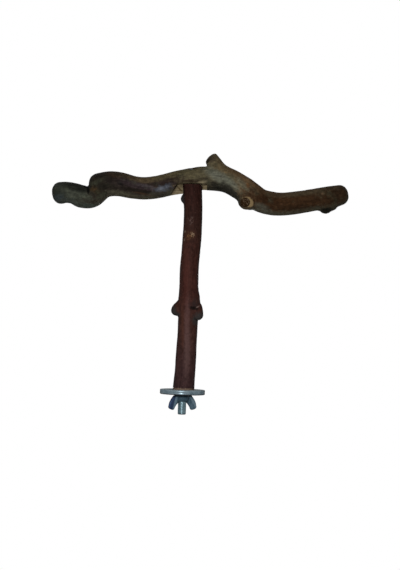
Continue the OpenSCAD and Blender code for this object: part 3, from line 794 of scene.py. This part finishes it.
for across, high, long, tall, slant, ragged, soft, strong, tint in stains_and_painted_light:
    mask = patch(tree, here, edge, (across, FRONT_Y, high), (long, FRONT_DEPTH, tall),
                 slant, ragged, soft)
    colour = painted(tree, colour, mask, strong, tint)

# Fine tone over all of it: dark and pale fibres, a film of grey-green algae, dark specks.
colour = painted(tree, colour, between(tree, coarse, 0.52, 0.72), 0.30, (74, 78, 62))
mottle = noise(tree, here, 330.0, 5.0, 0.68)
colour = toned(tree, colour, 0.8, streaks["Streak"], [
    (0.25, (0.42, 0.41, 0.38)), (0.5, (0.93, 0.93, 0.93)), (0.75, (1.45, 1.42, 1.38))])
colour = toned(tree, colour, 0.75, mottle, [
    (0.30, (0.50, 0.48, 0.46)), (0.5, (0.95, 0.95, 0.95)), (0.70, (1.55, 1.52, 1.46))])
specks = between(tree, noise(tree, spot, 900.0, 2.0, 0.5), 0.62, 0.72)
colour = painted(tree, colour, specks, 0.5, (24, 22, 19))

# The sawn ring of the knot, bare and tan above and to the right of its dark hollow, and
# darker round a spot down and to the left of it and towards its bottom.
knot_face = (knot[0] + knot[1] * KNOT_REACH) * MM
dark_spot_centre = knot_face + np.array([-4.6, -2.0, -2.4]) * MM
from_knot = maths(tree, "MULTIPLY_ADD", edge, 0.0044, apart(tree, here, tuple(knot_face)))
sawn = mixed(tree, coarse, paint(106, 89, 64), paint(132, 112, 80))
from_dark_spot = maths(tree, "MULTIPLY_ADD", edge, 0.004, apart(tree, here, tuple(dark_spot_centre)))
sawn = mixed(tree, between(tree, from_dark_spot, 0.0066, 0.0050), sawn, paint(44, 34, 27))
ragged_height = maths(tree, "MULTIPLY_ADD", edge, 0.004, high_up)
below = between(tree, ragged_height, knot_face[2] - 0.0024, knot_face[2] - 0.0038)
sawn = mixed(tree, below, sawn, paint(60, 50, 38))
colour = mixed(tree, between(tree, from_knot, 0.0060, 0.0052), colour, sawn)

# The cut face of the stub is darker: weathered wood, with painted shade as well.
stub_face = tuple((stub[0] + stub[1] * stub[2]) * MM)
from_stub = maths(tree, "MULTIPLY_ADD", edge, 0.002, apart(tree, here, stub_face))
colour = painted(tree, colour, between(tree, from_stub, 0.0056, 0.0040), 0.7, (58, 49, 39))
tree.links.new(colour, shader.inputs["Base Color"])
rough = between(tree, streaks["Fine"], 0.3, 0.75, 0.58, 0.82)
tree.links.new(rough, shader.inputs["Roughness"])
bumped(tree, shader, streaks["Height"], 0.55, 0.0004)

# Bare wood, where the housing, the knot's hollow and the screw's hole are cut: pale tan
# with darker rings of growth, dark cracks in the housing, and painted shade at its top.
tree, shader, here = shader_of(bare_wood, 0.72)
streaks = placed(tree, bark_streaks, {"Place": here, "Along": 0.016, "Across": 0.0007})
colour = coloured(tree, streaks["Streak"], [
    (0.30, (72, 61, 44)), (0.50, (110, 98, 76)), (0.70, (134, 122, 98))])
edge = ragged_edge(tree, here)
CRACK_AND_SHADE_RAGGED = 1.0
CRACK_AND_SHADE_SOFT = 0.4
for centre, size, slant, tint in [
        # Painted shade at the top left of the housing.
        ((-13.5, -2, 180.5), (9, 12, 1.7), 42, (52, 44, 20)),
        # Dark cracks: the next two.
        ((-7.6, -2, 171.9), (3.6, 12, 0.9), -45, (56, 44, 22)),
        ((-12.2, -2, 173.2), (4.6, 12, 1.0), 46, (50, 42, 26)),
        # Painted shade at the top of the housing beside the upright.
        ((-6.2, -2, 174.6), (2.4, 12, 2.0), 0, (78, 67, 50))]:
    mask = patch(tree, here, edge, centre, size, slant, CRACK_AND_SHADE_RAGGED, CRACK_AND_SHADE_SOFT)
    colour = painted(tree, colour, mask, 0.85, tint)
pith = mixed(tree, between(tree, noise(tree, here, 700.0), 0.50, 0.66),
             paint(42, 28, 15), paint(100, 84, 68))
in_knot = between(tree, apart(tree, here, tuple(knot_face)), 0.0084, 0.0074)
colour = mixed(tree, in_knot, colour, pith)
screw_top = (SCREW_X * MM, SCREW_Y * MM, SCREW_TOP * MM)
in_hole = between(tree, apart(tree, here, screw_top), 0.0072, 0.0060)
colour = mixed(tree, in_hole, colour, paint(48, 40, 30))
tree.links.new(colour, shader.inputs["Base Color"])
bumped(tree, shader, streaks["Height"], 0.5, 0.0003)

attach(cross, "perch")
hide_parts("cross_branch")


# The screw that holds the two branches together: zinc plated, with a countersunk head and
# a cross recess. It is driven down from the crosspiece's top into the upright and only
# its head shows, at the bottom of its hole.
SCREW_LENGTH = 50.8
SCREW_POINT = 6.0
SCREW_PITCH = 2.1
SCREW_PLAIN = 20
SCREW_SINK = 0.45
HEAD_LIP_R = 4.06
HEAD_RINGS = 26
RECESS_WIDE = 0.55
RECESS_REACH = 2.4
RECESS_DEEP = 1.5


def threaded(z, radius, pitch, depth, sides):
    """Rings of a threaded rod up the Z axis: at height z and turn a, the radius less depth
    times a V-shaped groove of the phase z/pitch - a."""
    turn = np.arange(sides) / sides
    phase = (z[:, None] / pitch - turn) % 1
    groove = np.clip(1.15 - 2.6 * np.abs(phase - 0.5), 0, 1)
    r = radius[:, None] - depth[:, None] * groove
    return np.stack([r * np.cos(2 * np.pi * turn), r * np.sin(2 * np.pi * turn),
                     z[:, None] + 0 * turn], -1)


z = np.linspace(SCREW_TOP - SCREW_LENGTH, SCREW_TOP - 2.2, 220)
tapered = np.clip((z - z[0]) / SCREW_POINT, 0.08, 1)
shank = threaded(z, SCREW_R * tapered, SCREW_PITCH,
                 0.55 * tapered * (z < SCREW_TOP - SCREW_PLAIN), 40)
head_r = np.concatenate([[SCREW_R, 3.9, HEAD_LIP_R], np.linspace(4.0, 0.2, HEAD_RINGS)])
head_z = SCREW_TOP - np.concatenate([[2, 0.25, 0.12], np.zeros(HEAD_RINGS)])
head = turned(np.stack([head_r, head_z], 1), 40)
across, other = np.abs(head[3:, :, 0]), np.abs(head[3:, :, 1])
narrow, wide = np.minimum(across, other), np.maximum(across, other)
recess = np.clip((RECESS_WIDE - narrow) / 0.15, 0, 1) * np.clip((RECESS_REACH - wide) / 0.4, 0, 1)
head[3:, :, 2] -= RECESS_DEEP * recess
screw = solid("joint_screw_zinc", [closed_skin(
    np.concatenate([shank, head]) + np.array([SCREW_X, SCREW_Y, -SCREW_SINK]))])

zinc_skin, given, put = group(
    "zinc_skin", [("Place", VECTOR), ("Scale", FLOAT)], [("Mottle", FLOAT), ("Scuff", FLOAT)])
zinc_skin.links.new(noise(zinc_skin, given["Place"], given["Scale"], 4.0, 0.65), put["Mottle"])
scuffed = wire(zinc_skin, "ShaderNodeVectorMath", {"operation": "MULTIPLY"},
               {0: given["Place"], 1: (1.0, 1.0, 6.0)}).outputs[0]
zinc_skin.links.new(noise(zinc_skin, scuffed, maths(zinc_skin, "MULTIPLY", given["Scale"], 2.5),
                          3.0, 0.7), put["Scuff"])


def zinc(name, dark, plain, bright, roughness, metallic=0.25, gloss=0.0, gloss_spread=0.28):
    """Zinc plate: blue-grey, dull, a little mottled and scuffed, with a shine only where it
    faces the eye. Returns the material, its tree, its Principled node, its places and its
    colour so far."""
    material = bpy.data.materials.new(name)
    tree, shader, here = shader_of(material, roughness)
    edge_on = wire(tree, "ShaderNodeLayerWeight", {}, {"Blend": 0.5}).outputs["Facing"]
    tree.links.new(between(tree, edge_on, 0.55, 0.85, metallic, 0.0), shader.inputs["Metallic"])
    tree.links.new(between(tree, edge_on, 0.20, 0.55, gloss, 0.0), shader.inputs["Coat Weight"])
    shader.inputs["Coat Roughness"].default_value = gloss_spread
    skin = placed(tree, zinc_skin, {"Place": here, "Scale": 260.0})
    colour = coloured(tree, skin["Mottle"], [(0.30, dark), (0.5, plain), (0.72, bright)])
    tree.links.new(colour, shader.inputs["Base Color"])
    tree.links.new(between(tree, skin["Scuff"], 0.35, 0.7, roughness - 0.04, roughness + 0.05),
                   shader.inputs["Roughness"])
    bumped(tree, shader, skin["Scuff"], 0.05, 0.00006)
    return material, tree, shader, here, colour


screw_zinc = zinc("screw_zinc", (58, 64, 66), (84, 92, 94), (112, 120, 122), 0.40)[0]
screw.data.materials.append(screw_zinc)
shade(screw)
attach(screw, "perch")
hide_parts("joint_screw")


# The upright: a straight piece of red-brown branch with its bark on, sawn square at its
# foot. Its top is pared flat at the back to sit in the housing, glued and screwed. It
# keeps a bud near the top and the stubs of two cut twigs.
UPRIGHT_LENGTH = 174.0
UPRIGHT_D = 16.0
WASHER_T = 2.0
# In a row: the place of the middle up the length, to the right and back, and half the width
# and half the depth, as shares of the upright's length or thickness.
upright_shares = np.array([
    [0.000, 0.048, 0.00, 0.560, 0.555],
    [0.045, 0.079, 0.02, 0.535, 0.535],
    [0.103, 0.122, 0.03, 0.515, 0.520],
    [0.183, 0.148, 0.04, 0.512, 0.510],
    [0.263, 0.162, 0.02, 0.500, 0.500],
    [0.332, 0.162, 0.00, 0.506, 0.505],
    [0.389, 0.163, -0.03, 0.520, 0.525],
    [0.446, 0.165, -0.05, 0.510, 0.510],
    [0.509, 0.171, -0.06, 0.498, 0.495],
    [0.590, 0.169, -0.05, 0.493, 0.490],
    [0.670, 0.220, -0.04, 0.487, 0.485],
    [0.739, 0.260, -0.03, 0.484, 0.480],
    [0.802, 0.273, -0.02, 0.474, 0.480],
    [0.876, 0.252, -0.03, 0.468, 0.475],
    [0.945, 0.210, -0.03, 0.478, 0.480],
    [1.000, 0.188, -0.03, 0.484, 0.485]])


def upright_line(u):
    """Middle of the upright and its half width and half depth."""
    rows = through(upright_shares, u)
    middle = np.stack([rows[:, 1] * UPRIGHT_D, rows[:, 2] * UPRIGHT_D,
                       WASHER_T + rows[:, 0] * UPRIGHT_LENGTH], 1)
    return middle, rows[:, 3:5] * UPRIGHT_D


def upright_rings(extra, sides=96, per_row=10):
    """Level rings of the upright, with its lumps, and a little extra length at each end."""
    u = np.linspace(0, len(upright_shares) - 1, (len(upright_shares) - 1) * per_row + 1)
    u = np.concatenate([u[:1], u, u[-1:]])
    middle, half = upright_line(u)
    middle[0, 2] -= extra
    middle[-1, 2] += extra
    degrees = 360.0 * np.arange(sides)[None, :] / sides
    size = swelling(u, degrees)
    return middle[:, None, :] + np.stack([
        half[:, :1] * size * np.cos(np.radians(degrees)),
        half[:, 1:] * size * np.sin(np.radians(degrees)), 0 * size], -1)


def to_upright(points):
    """Height of each point above the upright's skin, and its place up, right and back."""
    z = (points[:, 2] - WASHER_T) / UPRIGHT_LENGTH
    u = np.interp(z, upright_shares[:, 0], np.arange(len(upright_shares)))
    middle, half = upright_line(u)
    off = points - middle
    share = np.sqrt((off[:, 0] / half[:, 0]) ** 2 + (off[:, 1] / half[:, 1]) ** 2)
    out = np.hypot(off[:, 0], off[:, 1])
    return out - out / np.maximum(share, 1e-6), np.stack([points[:, 2], off[:, 0], off[:, 1]], 1)


def on_upright(u):
    """Middle of the upright at a place."""
    return upright_line(np.array([u]))[0][0]


left_twig = (on_upright(6.68), unit(np.array([-0.79, -0.06, -0.61])), 16.5, 4.0,
             [(0.05, 1.30), (0.36, 1.40), (0.58, 1.38), (0.75, 1.25),
              (0.86, 1.00), (0.93, 0.76), (0.98, 0.48), (1.00, 0.25)])
right_twig = (on_upright(7.31), unit(np.array([0.43, -0.24, -0.87])), 24.0, 4.3,
              [(0.05, 1.86), (0.20, 1.80), (0.44, 1.38), (0.57, 1.40), (0.73, 1.22),
               (0.86, 1.00), (0.94, 0.75), (0.98, 0.47), (1.00, 0.23)])
bud = (on_upright(13.75), unit(np.array([-0.95, 0.30, 0.0])), 10.1, 4.6,
       [(0.10, 1.05), (0.55, 1.00), (0.80, 0.78), (0.94, 0.46), (1.00, 0.16)])
upright_growths = (left_twig, right_twig, bud)
upright_fillets = (1.0, 2.4, 2.4, 1.6)


def block(low, high):
    """A plain box between two corners, for cutting with."""
    (x0, y0, z0), (x1, y1, z1) = low, high
    return closed_skin(np.array([[[x0, y0, z], [x1, y0, z], [x1, y1, z], [x0, y1, z]]
                                 for z in (z0, z1)], float))


upright_bark = bpy.data.materials.new("upright_bark")
upright = solid("upright_branch_bark", [
    closed_skin(upright_rings(2.0)),
    *[closed_skin(stub_rings(*form)) for form in upright_growths]])
grown_together(upright, 0.42)
upright.data.materials.clear()
upright.data.materials.append(upright_bark)
upright.data.materials.append(bare_wood)
points = read(upright)
heights = np.stack([to_upright(points)[0], *[to_stub(points, *form) for form in upright_growths]])
fill, meeting = fillet(heights, upright_fillets)
place(upright, points + read(upright, "normal") * (fill + BARK_SWELL)[:, None])
soften(upright, meeting, 10)
points = read(upright)
_, spot = to_upright(points)
relief = bark_relief(spot, [(0.13, [13, 5, 5], 11), (0.08, [10, 1.6, 1.6], 12),
                            (0.05, [1.2, 2.6, 2.6], 13)], (0.25, [2.0, 2.6, 2.6], 14, 0.55))
# The dark slit where the right twig's collar of bark stands off the branch.
SLIT_DEEP = 0.9
slit = np.linalg.norm((points - np.array([6.6, -8.0, 71.6])) / [2.6, 4.0, 1.3], axis=1)
relief -= SLIT_DEEP * np.clip(1 - slit, 0, 1)
place(upright, points + read(upright, "normal") * relief[:, None])
top = upright_line(np.array([len(upright_shares) - 1.0]))
corner_x = top[0][0, 0] + top[1][0, 0]
WIDE = 20
PAST = 5
CORNER_WEAR = 1.3
for name, low, high in (
        ("foot_cut", (-WIDE, -WIDE, WASHER_T - PAST), (WIDE, WIDE, WASHER_T)),
        ("top_cut", (-WIDE, -WIDE, SEAT_Z), (WIDE, WIDE, SEAT_Z + PAST)),
        ("tongue_cut", (-WIDE, HOUSING_BACK, SEAT_Z - TONGUE_H), (WIDE, WIDE, SEAT_Z + PAST))):
    carved(upright, solid(name, [block(low, high)]))
carved(upright, solid("corner_cut", [closed_skin(np.array([
    [[corner_x - CORNER_WEAR, y, SEAT_Z], [corner_x, y, SEAT_Z - CORNER_WEAR],
     [corner_x + CORNER_WEAR, y, SEAT_Z], [corner_x, y, SEAT_Z + CORNER_WEAR]]
    for y in (-WIDE, WIDE)]))]))
shade(upright, 1)
points = read(upright)
_, spot = to_upright(points)
keep(upright, "bark_place", spot * MM)
keep(upright, "bark_facing", unit(spot * np.array([0, 1, 1])))

tree, shader, here = shader_of(upright_bark, 0.55, 0.02)
spot = wire(tree, "ShaderNodeAttribute", {"attribute_name": "bark_place"}, {}).outputs["Vector"]
edge = ragged_edge(tree, here)
streaks = placed(tree, bark_streaks, {"Place": spot, "Along": 0.009, "Across": 0.0012})
height = wire(tree, "ShaderNodeSeparateXYZ", {}, {0: here}).outputs[2]
height_share = maths(tree, "DIVIDE", maths(tree, "MULTIPLY_ADD", edge, 0.02, height), SEAT_Z * MM)
colour = coloured(tree, height_share, [
    (0.00, (52, 36, 36)), (0.12, (57, 39, 38)), (0.25, (58, 38, 34)), (0.36, (57, 36, 31)),
    (0.50, (59, 34, 29)), (0.66, (55, 32, 27)), (0.80, (49, 31, 26)), (0.92, (44, 25, 21)),
    (1.00, (40, 22, 19))])
mottle = noise(tree, here, 380.0, 5.0, 0.66)
colour = toned(tree, colour, 0.8, streaks["Streak"], [
    (0.25, (0.45, 0.40, 0.40)), (0.5, (0.92, 0.92, 0.92)), (0.75, (1.5, 1.42, 1.38))])
colour = toned(tree, colour, 0.7, mottle, [
    (0.30, (0.5, 0.46, 0.45)), (0.5, (0.95, 0.95, 0.95)), (0.70, (1.6, 1.5, 1.45))])
dots = between(tree, noise(tree, spot, 800.0, 2.0, 0.5), 0.66, 0.74)
colour = painted(tree, colour, dots, 0.15, (128, 100, 88))

# Marks on the upright, in rows like the crosspiece's, with their place back as well. Some
# are painted light: a pale sheen down the middle, a highlight near the top, and shade in and
# round the slit under the right twig. The most ragged ones are broken up into crumbs.
MARK_DEPTH = 4.5
CRUMBLY = 2
marks_and_painted_light = [
    # Painted sheen down the middle: the next two.
    (1.9, -8.5, 60, 2.2, 20, 0, 1.8, 0.6, 0.55, (90, 64, 61)),
    (3.0, -8.5, 34, 2.6, 20, 0, 1.8, 0.6, 0.60, (86, 64, 61)),
    (-1.4, -8.5, 54, 1.2, 18, 2, 1.8, 0.6, 0.45, (76, 46, 36)),
    (0.4, -8.5, 100, 2.4, 24, 0, 1.6, 0.6, 0.45, (76, 42, 36)),
    # Painted highlight: the next row.
    (3.2, -8.5, 144.8, 1.4, 3.0, -12, 2.6, 0.5, 0.65, (116, 96, 90)),
    (0.2, -8.5, 146.6, 1.2, 3.4, 0, 2.4, 0.5, 0.5, (76, 60, 56)),
    (4.3, -8.0, 133.4, 1.7, 1.6, 40, 3.0, 0.5, 0.95, (184, 160, 134)),
    (1.4, -8.0, 131.4, 2.4, 1.4, 50, 3.0, 0.5, 0.95, (160, 112, 60)),
    (2.6, -8.0, 132.6, 3.4, 2.4, 35, 3.0, 0.5, 0.45, (132, 102, 70)),
    (-1.9, -7.5, 135.9, 0.9, 1.4, 10, 2.6, 0.5, 0.9, (150, 132, 112)),
    (-2.4, -7.5, 129.2, 0.9, 1.4, 0, 2.6, 0.5, 0.9, (146, 128, 108)),
    (1.0, -8.0, 133, 6, 4.0, 0, 1.8, 0.5, 0.35, (70, 44, 30)),
    # Painted shadow in and round the slit under the right twig's collar: the next three.
    (7.8, -8.0, 73.6, 3.6, 2.6, -10, 1.8, 0.5, 0.65, (36, 27, 28)),
    (7.6, -8.0, 71.2, 3.8, 1.7, -6, 1.2, 0.4, 0.95, (16, 10, 9)),
    (8.8, -9.0, 76.5, 3.0, 3.0, 0, 1.6, 0.5, 0.5, (44, 36, 34)),
    (10.9, -8.5, 72.6, 1.7, 0.6, 30, 1.4, 0.4, 0.8, (104, 86, 80))]
crumbs = between(tree, noise(tree, here, 950.0, 3.0, 0.7), 0.50, 0.57)
for across, deep, high, long, tall, slant, ragged, soft, strong, tint in marks_and_painted_light:
    mask = patch(tree, here, edge, (across, deep, high), (long, MARK_DEPTH, tall),
                 slant, ragged, soft)
    if ragged > CRUMBLY:
        mask = maths(tree, "MULTIPLY", mask, crumbs)
    colour = painted(tree, colour, mask, strong, tint)
for form, tint in zip(upright_growths, ((44, 43, 41), (48, 46, 45), (40, 42, 42))):
    tip = tuple((form[0] + form[1] * form[2]) * MM)
    from_tip = maths(tree, "MULTIPLY_ADD", edge, 0.006, apart(tree, here, tip))
    colour = mixed(tree, between(tree, from_tip, 0.0085, 0.0045, 0.0, 0.9), colour, paint(*tint))
foot_z = WASHER_T * MM
foot = maths(tree, "MULTIPLY_ADD", edge, 0.0040, height)
colour = mixed(tree, between(tree, foot, foot_z + 0.0017, foot_z + 0.0009), colour,
               paint(106, 88, 74))
# Painted shade: the outline of the round branch is darkened where it is seen edge on.
edge_on = wire(tree, "ShaderNodeLayerWeight", {}, {"Blend": 0.5}).outputs["Facing"]
colour = mixed(tree, 1.0, colour, between(tree, edge_on, 0.30, 0.75, 1.0, 0.55), "MULTIPLY")
tree.links.new(colour, shader.inputs["Base Color"])
tree.links.new(between(tree, streaks["Fine"], 0.3, 0.75, 0.50, 0.74), shader.inputs["Roughness"])
bumped(tree, shader, streaks["Height"], 0.5, 0.00035)
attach(upright, "perch")
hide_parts("upright_branch")


# The hanger bolt: a quarter-inch stud, zinc plated, with a coarse wood thread that is
# turned up into the foot of the upright and a fine machine thread below for the nut.
BOLT_R = 3.175
BOLT_LOW = -19.1
BOLT_LENGTH = 50.8
BOLT_POINT = 7.0
PITCH = 1.27
WOOD_PITCH = 2.6
END_ROUND = 1.1
machine_z = np.linspace(BOLT_LOW, WASHER_T, 200)
wood_z = np.linspace(WASHER_T, BOLT_LOW + BOLT_LENGTH, 120)[1:]
low_end = np.clip((machine_z - BOLT_LOW) / END_ROUND, 0, 1)
machine_r = BOLT_R + 0.3 - 0.7 * (1 - np.sqrt(1 - (1 - low_end) ** 2))
machine = threaded(machine_z, machine_r, PITCH, 0.02 * low_end, 64)
wood_taper = np.clip((wood_z[-1] - wood_z) / BOLT_POINT, 0.16, 1)
wood = threaded(wood_z, BOLT_R * wood_taper, WOOD_PITCH, 0.7 * wood_taper, 64)
bolt = solid("hanger_bolt_zinc", [closed_skin(np.concatenate([machine, wood]))])
bolt_zinc, tree, shader, here, colour = zinc(
    "bolt_zinc", (60, 82, 89), (74, 96, 103), (90, 112, 118), 0.29, 0.55, 0.6)
height = wire(tree, "ShaderNodeSeparateXYZ", {}, {0: here}).outputs[2]
bolt_end = between(tree, height, -0.0176, -0.0186)
tree.links.new(painted(tree, colour, bolt_end, 0.7, (40, 50, 56)), shader.inputs["Base Color"])
bolt.data.materials.append(bolt_zinc)
shade(bolt)
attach(bolt, "perch")
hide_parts("hanger_bolt")


# The two washers: wide, flat, stamped from sheet steel and zinc plated, with the rim rolled
# over by the punch. The upper one stays under the foot of the upright; the nut draws the
# lower one up against the cage. Their flat faces are painted lighter as a painted highlight,
# and the underside of the lower one's rim is painted dark as shade.
WASHER_R = 19.05
HOLE_R = BOLT_R + 0.7


def arc(r, z, size, start, stop, steps=7):
    """Rows of radius and height round part of a circle."""
    a = np.radians(np.linspace(start, stop, steps))
    return np.stack([r + size * np.cos(a), z + size * np.sin(a)], 1)


def washer_rings(side, inner, outer, sides=192):
    """Rings of the washer above (1) or below (-1) the cage, from a profile that runs round
    its section: hole, face at the cage, rim, face away from it. Inner and outer are how far
    the rim is rolled at those two faces."""
    profile = np.concatenate([
        arc(HOLE_R + 0.2, 0.2, 0.2, 180, 270, 4), [[12, 0]],
        arc(WASHER_R - inner, inner, inner, 270, 360, 4),
        arc(WASHER_R - outer, WASHER_T - outer, outer, 0, 90),
        [[12, WASHER_T]], arc(HOLE_R + 0.3, WASHER_T - 0.3, 0.3, 90, 180, 4)])
    return turned(profile * [1, side], sides)


def looped_skin(rings):
    """Points and faces of a closed ring: quads from each profile row to the next, and from
    the last row back to the first."""
    count, sides = rings.shape[:2]
    i, k = np.meshgrid(np.arange(count), np.arange(sides), indexing="ij")
    here, on = i * sides + k, i * sides + (k + 1) % sides
    after, after_on = (i + 1) % count * sides + k, (i + 1) % count * sides + (k + 1) % sides
    return rings.reshape(-1, 3), np.stack([here, on, after_on, after], -1).reshape(-1, 4).tolist()


def round_axis(tree, here):
    """Outputs of a place's distance from the bolt's axis, across the perch and in height."""
    across, deep, height = wire(tree, "ShaderNodeSeparateXYZ", {}, {0: here}).outputs
    level = wire(tree, "ShaderNodeCombineXYZ", {}, {0: across, 1: deep}).outputs[0]
    return wire(tree, "ShaderNodeVectorMath", {"operation": "LENGTH"},
                {0: level}).outputs["Value"], across, height


washer_zinc, tree, shader, here, colour = zinc(
    "washer_zinc", (76, 92, 101), (94, 110, 118), (116, 130, 136), 0.30, 0.40, 0.55, 0.40)
from_axis, _, height = round_axis(tree, here)
# Painted highlight: the flat faces are painted lighter.
face_highlight = between(tree, maths(tree, "ABSOLUTE", height), 0.00170, 0.00195)
colour = painted(tree, colour, face_highlight, 0.8, (172, 184, 188))
# Painted shade on the underside of the lower washer's rim.
rim_underside_shade = maths(tree, "MULTIPLY", between(tree, height, -0.0008, -0.0014, 0.0, 0.9),
             between(tree, from_axis, 0.0174, 0.0182))
tree.links.new(mixed(tree, rim_underside_shade, colour, paint(14, 18, 22)), shader.inputs["Base Color"])
for name, side, rolled, body, node in (
        ("upper_washer_zinc", 1, (0.15, 0.4), "perch", "upper_washer"),
        ("lower_washer_zinc", -1, (0.3, 0.8), "clamp_washer", "lower_washer")):
    washer = solid(name, [looped_skin(washer_rings(side, *rolled))])
    washer.data.materials.append(washer_zinc)
    shade(washer)
    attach(washer, body)
    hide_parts(node)


# The wing nut: hot forged and zinc plated, with two blunt wings that droop away from the
# cage. It is spun by hand on the machine thread.
WING_SPAN = 12.9
WING_H = 12.8
BOSS_H = 6.1
NUT_TOP = -WASHER_T
BOSS_END = NUT_TOP - BOSS_H
WING_TURN = math.radians(28)
WING_ROOT_T = 3.6
WING_THINS = 0.9
WING_TIP = 0.215
WING_ROUND = 3.2
WING_SQUARE = 0.75
WING_OUT = 0.2
WING_FULLER = 0.35
LEFT_WING = 0.94
NUT_BORE_R = BOLT_R + 0.06
# Stations of a wing: how far out and down its middle is, and half its width, as shares of
# the wings' span or height.
wing_shares = np.array([
    [0.29, 0.18, 0.180],
    [0.46, 0.31, 0.270],
    [0.635, 0.50, 0.257],
    [0.745, 0.68, 0.246],
    [0.79, 0.80, 0.222]])


def wing_rings(side, per_row=10, sides=48, tip_steps=12):
    """Rings of one wing, square to its middle line: ellipses pushed square by raising
    their sine and cosine to a power below one, which shrink into a flattened round tip."""
    last = len(wing_shares) - 1
    t = np.sin(np.linspace(0, np.pi / 2, tip_steps + 1)[1:]) * 0.998
    u = np.concatenate([np.linspace(0, last, last * per_row + 1), 0 * t + last])
    small = (1 - t ** WING_ROUND) ** (1 / WING_ROUND)
    draw = np.concatenate([np.ones(last * per_row + 1), small])
    shift = np.concatenate([np.zeros(last * per_row + 1), WING_TIP * WING_H * t])
    rows = through(wing_shares, u)
    span = (through(wing_shares, np.minimum(u + 0.05, last))
            - through(wing_shares, np.maximum(u - 0.05, 0)))
    along = unit(np.stack([span[:, 0] * WING_SPAN, 0 * u, -span[:, 1] * WING_H], 1))
    out = np.stack([-along[:, 2], 0 * u, along[:, 0]], 1)
    middle = np.stack([rows[:, 0] * WING_SPAN, 0 * u, NUT_TOP - rows[:, 1] * WING_H], 1)
    middle = middle + along * shift[:, None] + WING_OUT * out
    wide = (rows[:, 2] * WING_H + WING_FULLER) * draw
    thick = (WING_ROOT_T - WING_THINS * u / last) / 2 * (0.4 + 0.6 * draw)
    turn = -2 * np.pi * np.arange(sides) / sides
    wave = [np.sign(w) * np.abs(w) ** WING_SQUARE for w in (np.cos(turn), np.sin(turn))]
    rings = (middle[:, None, :] + wide[:, None, None] * wave[0][:, None] * out[:, None, :]
             + thick[:, None, None] * wave[1][:, None] * np.array([0, 1, 0]))
    return rings * np.array([1 if side > 0 else -LEFT_WING, side, 1])


nut = solid("wing_nut_zinc", [
    closed_skin(turned([(5.65, NUT_TOP), (6.0, NUT_TOP - 0.7), (5.4, BOSS_END + 2.0),
                        (5.0, BOSS_END + 0.7), (4.3, BOSS_END)], 96)),
    closed_skin(wing_rings(1)), closed_skin(wing_rings(-1))])
grown_together(nut, 0.17)
points = read(nut)
radius = np.hypot(points[:, 0], points[:, 1])
soften(nut, np.clip(1.6 - np.abs(radius - 5.8) / 2.2, 0, 1) * (points[:, 2] < NUT_TOP - 0.6), 12)
points = read(nut)
points[:, 2] = np.minimum(points[:, 2], NUT_TOP)
turn_in = np.array([[math.cos(WING_TURN), math.sin(WING_TURN), 0],
                    [-math.sin(WING_TURN), math.cos(WING_TURN), 0], [0, 0, 1]])
place(nut, points @ turn_in)
nut_zinc, tree, shader, here, colour = zinc(
    "nut_zinc", (52, 70, 81), (68, 86, 98), (88, 106, 116), 0.36)
nut.data.materials.clear()
nut.data.materials.append(nut_zinc)
carved(nut, solid("bore_cut", [closed_skin(turned(
    [(4.0, NUT_TOP + 1), (NUT_BORE_R, NUT_TOP - 0.4), (NUT_BORE_R, BOSS_END + 0.5),
     (4.1, BOSS_END - 1)], 64))]))

# Painted light and shade: the left wing is painted dark blue as shade, with a painted
# highlight on its inner edge; the right wing has a painted highlight on its outer edge, and
# the boss and the roots of the wings are painted dark as shadow under the washers.
from_axis, across, height = round_axis(tree, here)
from_wing = maths(tree, "MULTIPLY_ADD", height, -0.22, across)
inner_edge_highlight = maths(tree, "MULTIPLY", between(tree, from_wing, -0.0050, -0.0042),
                   between(tree, from_wing, -0.0022, -0.0030))
colour = painted(tree, colour, inner_edge_highlight, 0.7, (96, 115, 127))
left_wing_shade = between(tree, from_wing, -0.0042, -0.0050)
colour = painted(tree, colour, left_wing_shade, 0.9, (38, 50, 76))
outer_edge_highlight = between(tree, maths(tree, "MULTIPLY_ADD", height, 0.55, across), 0.0036, 0.0043)
colour = painted(tree, colour, outer_edge_highlight, 0.6, (108, 126, 136))
boss_shade = between(tree, from_axis, 0.0064, 0.0056, 0.0, 0.65)
colour = mixed(tree, boss_shade, colour, paint(42, 58, 67))
under_washer_shadow = between(tree, height, -0.0050, -0.0030)
tree.links.new(painted(tree, colour, under_washer_shadow, 0.95, (8, 13, 16)), shader.inputs["Base Color"])
shade(nut)
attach(nut, "clamp_nut")
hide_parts("wing_nut")
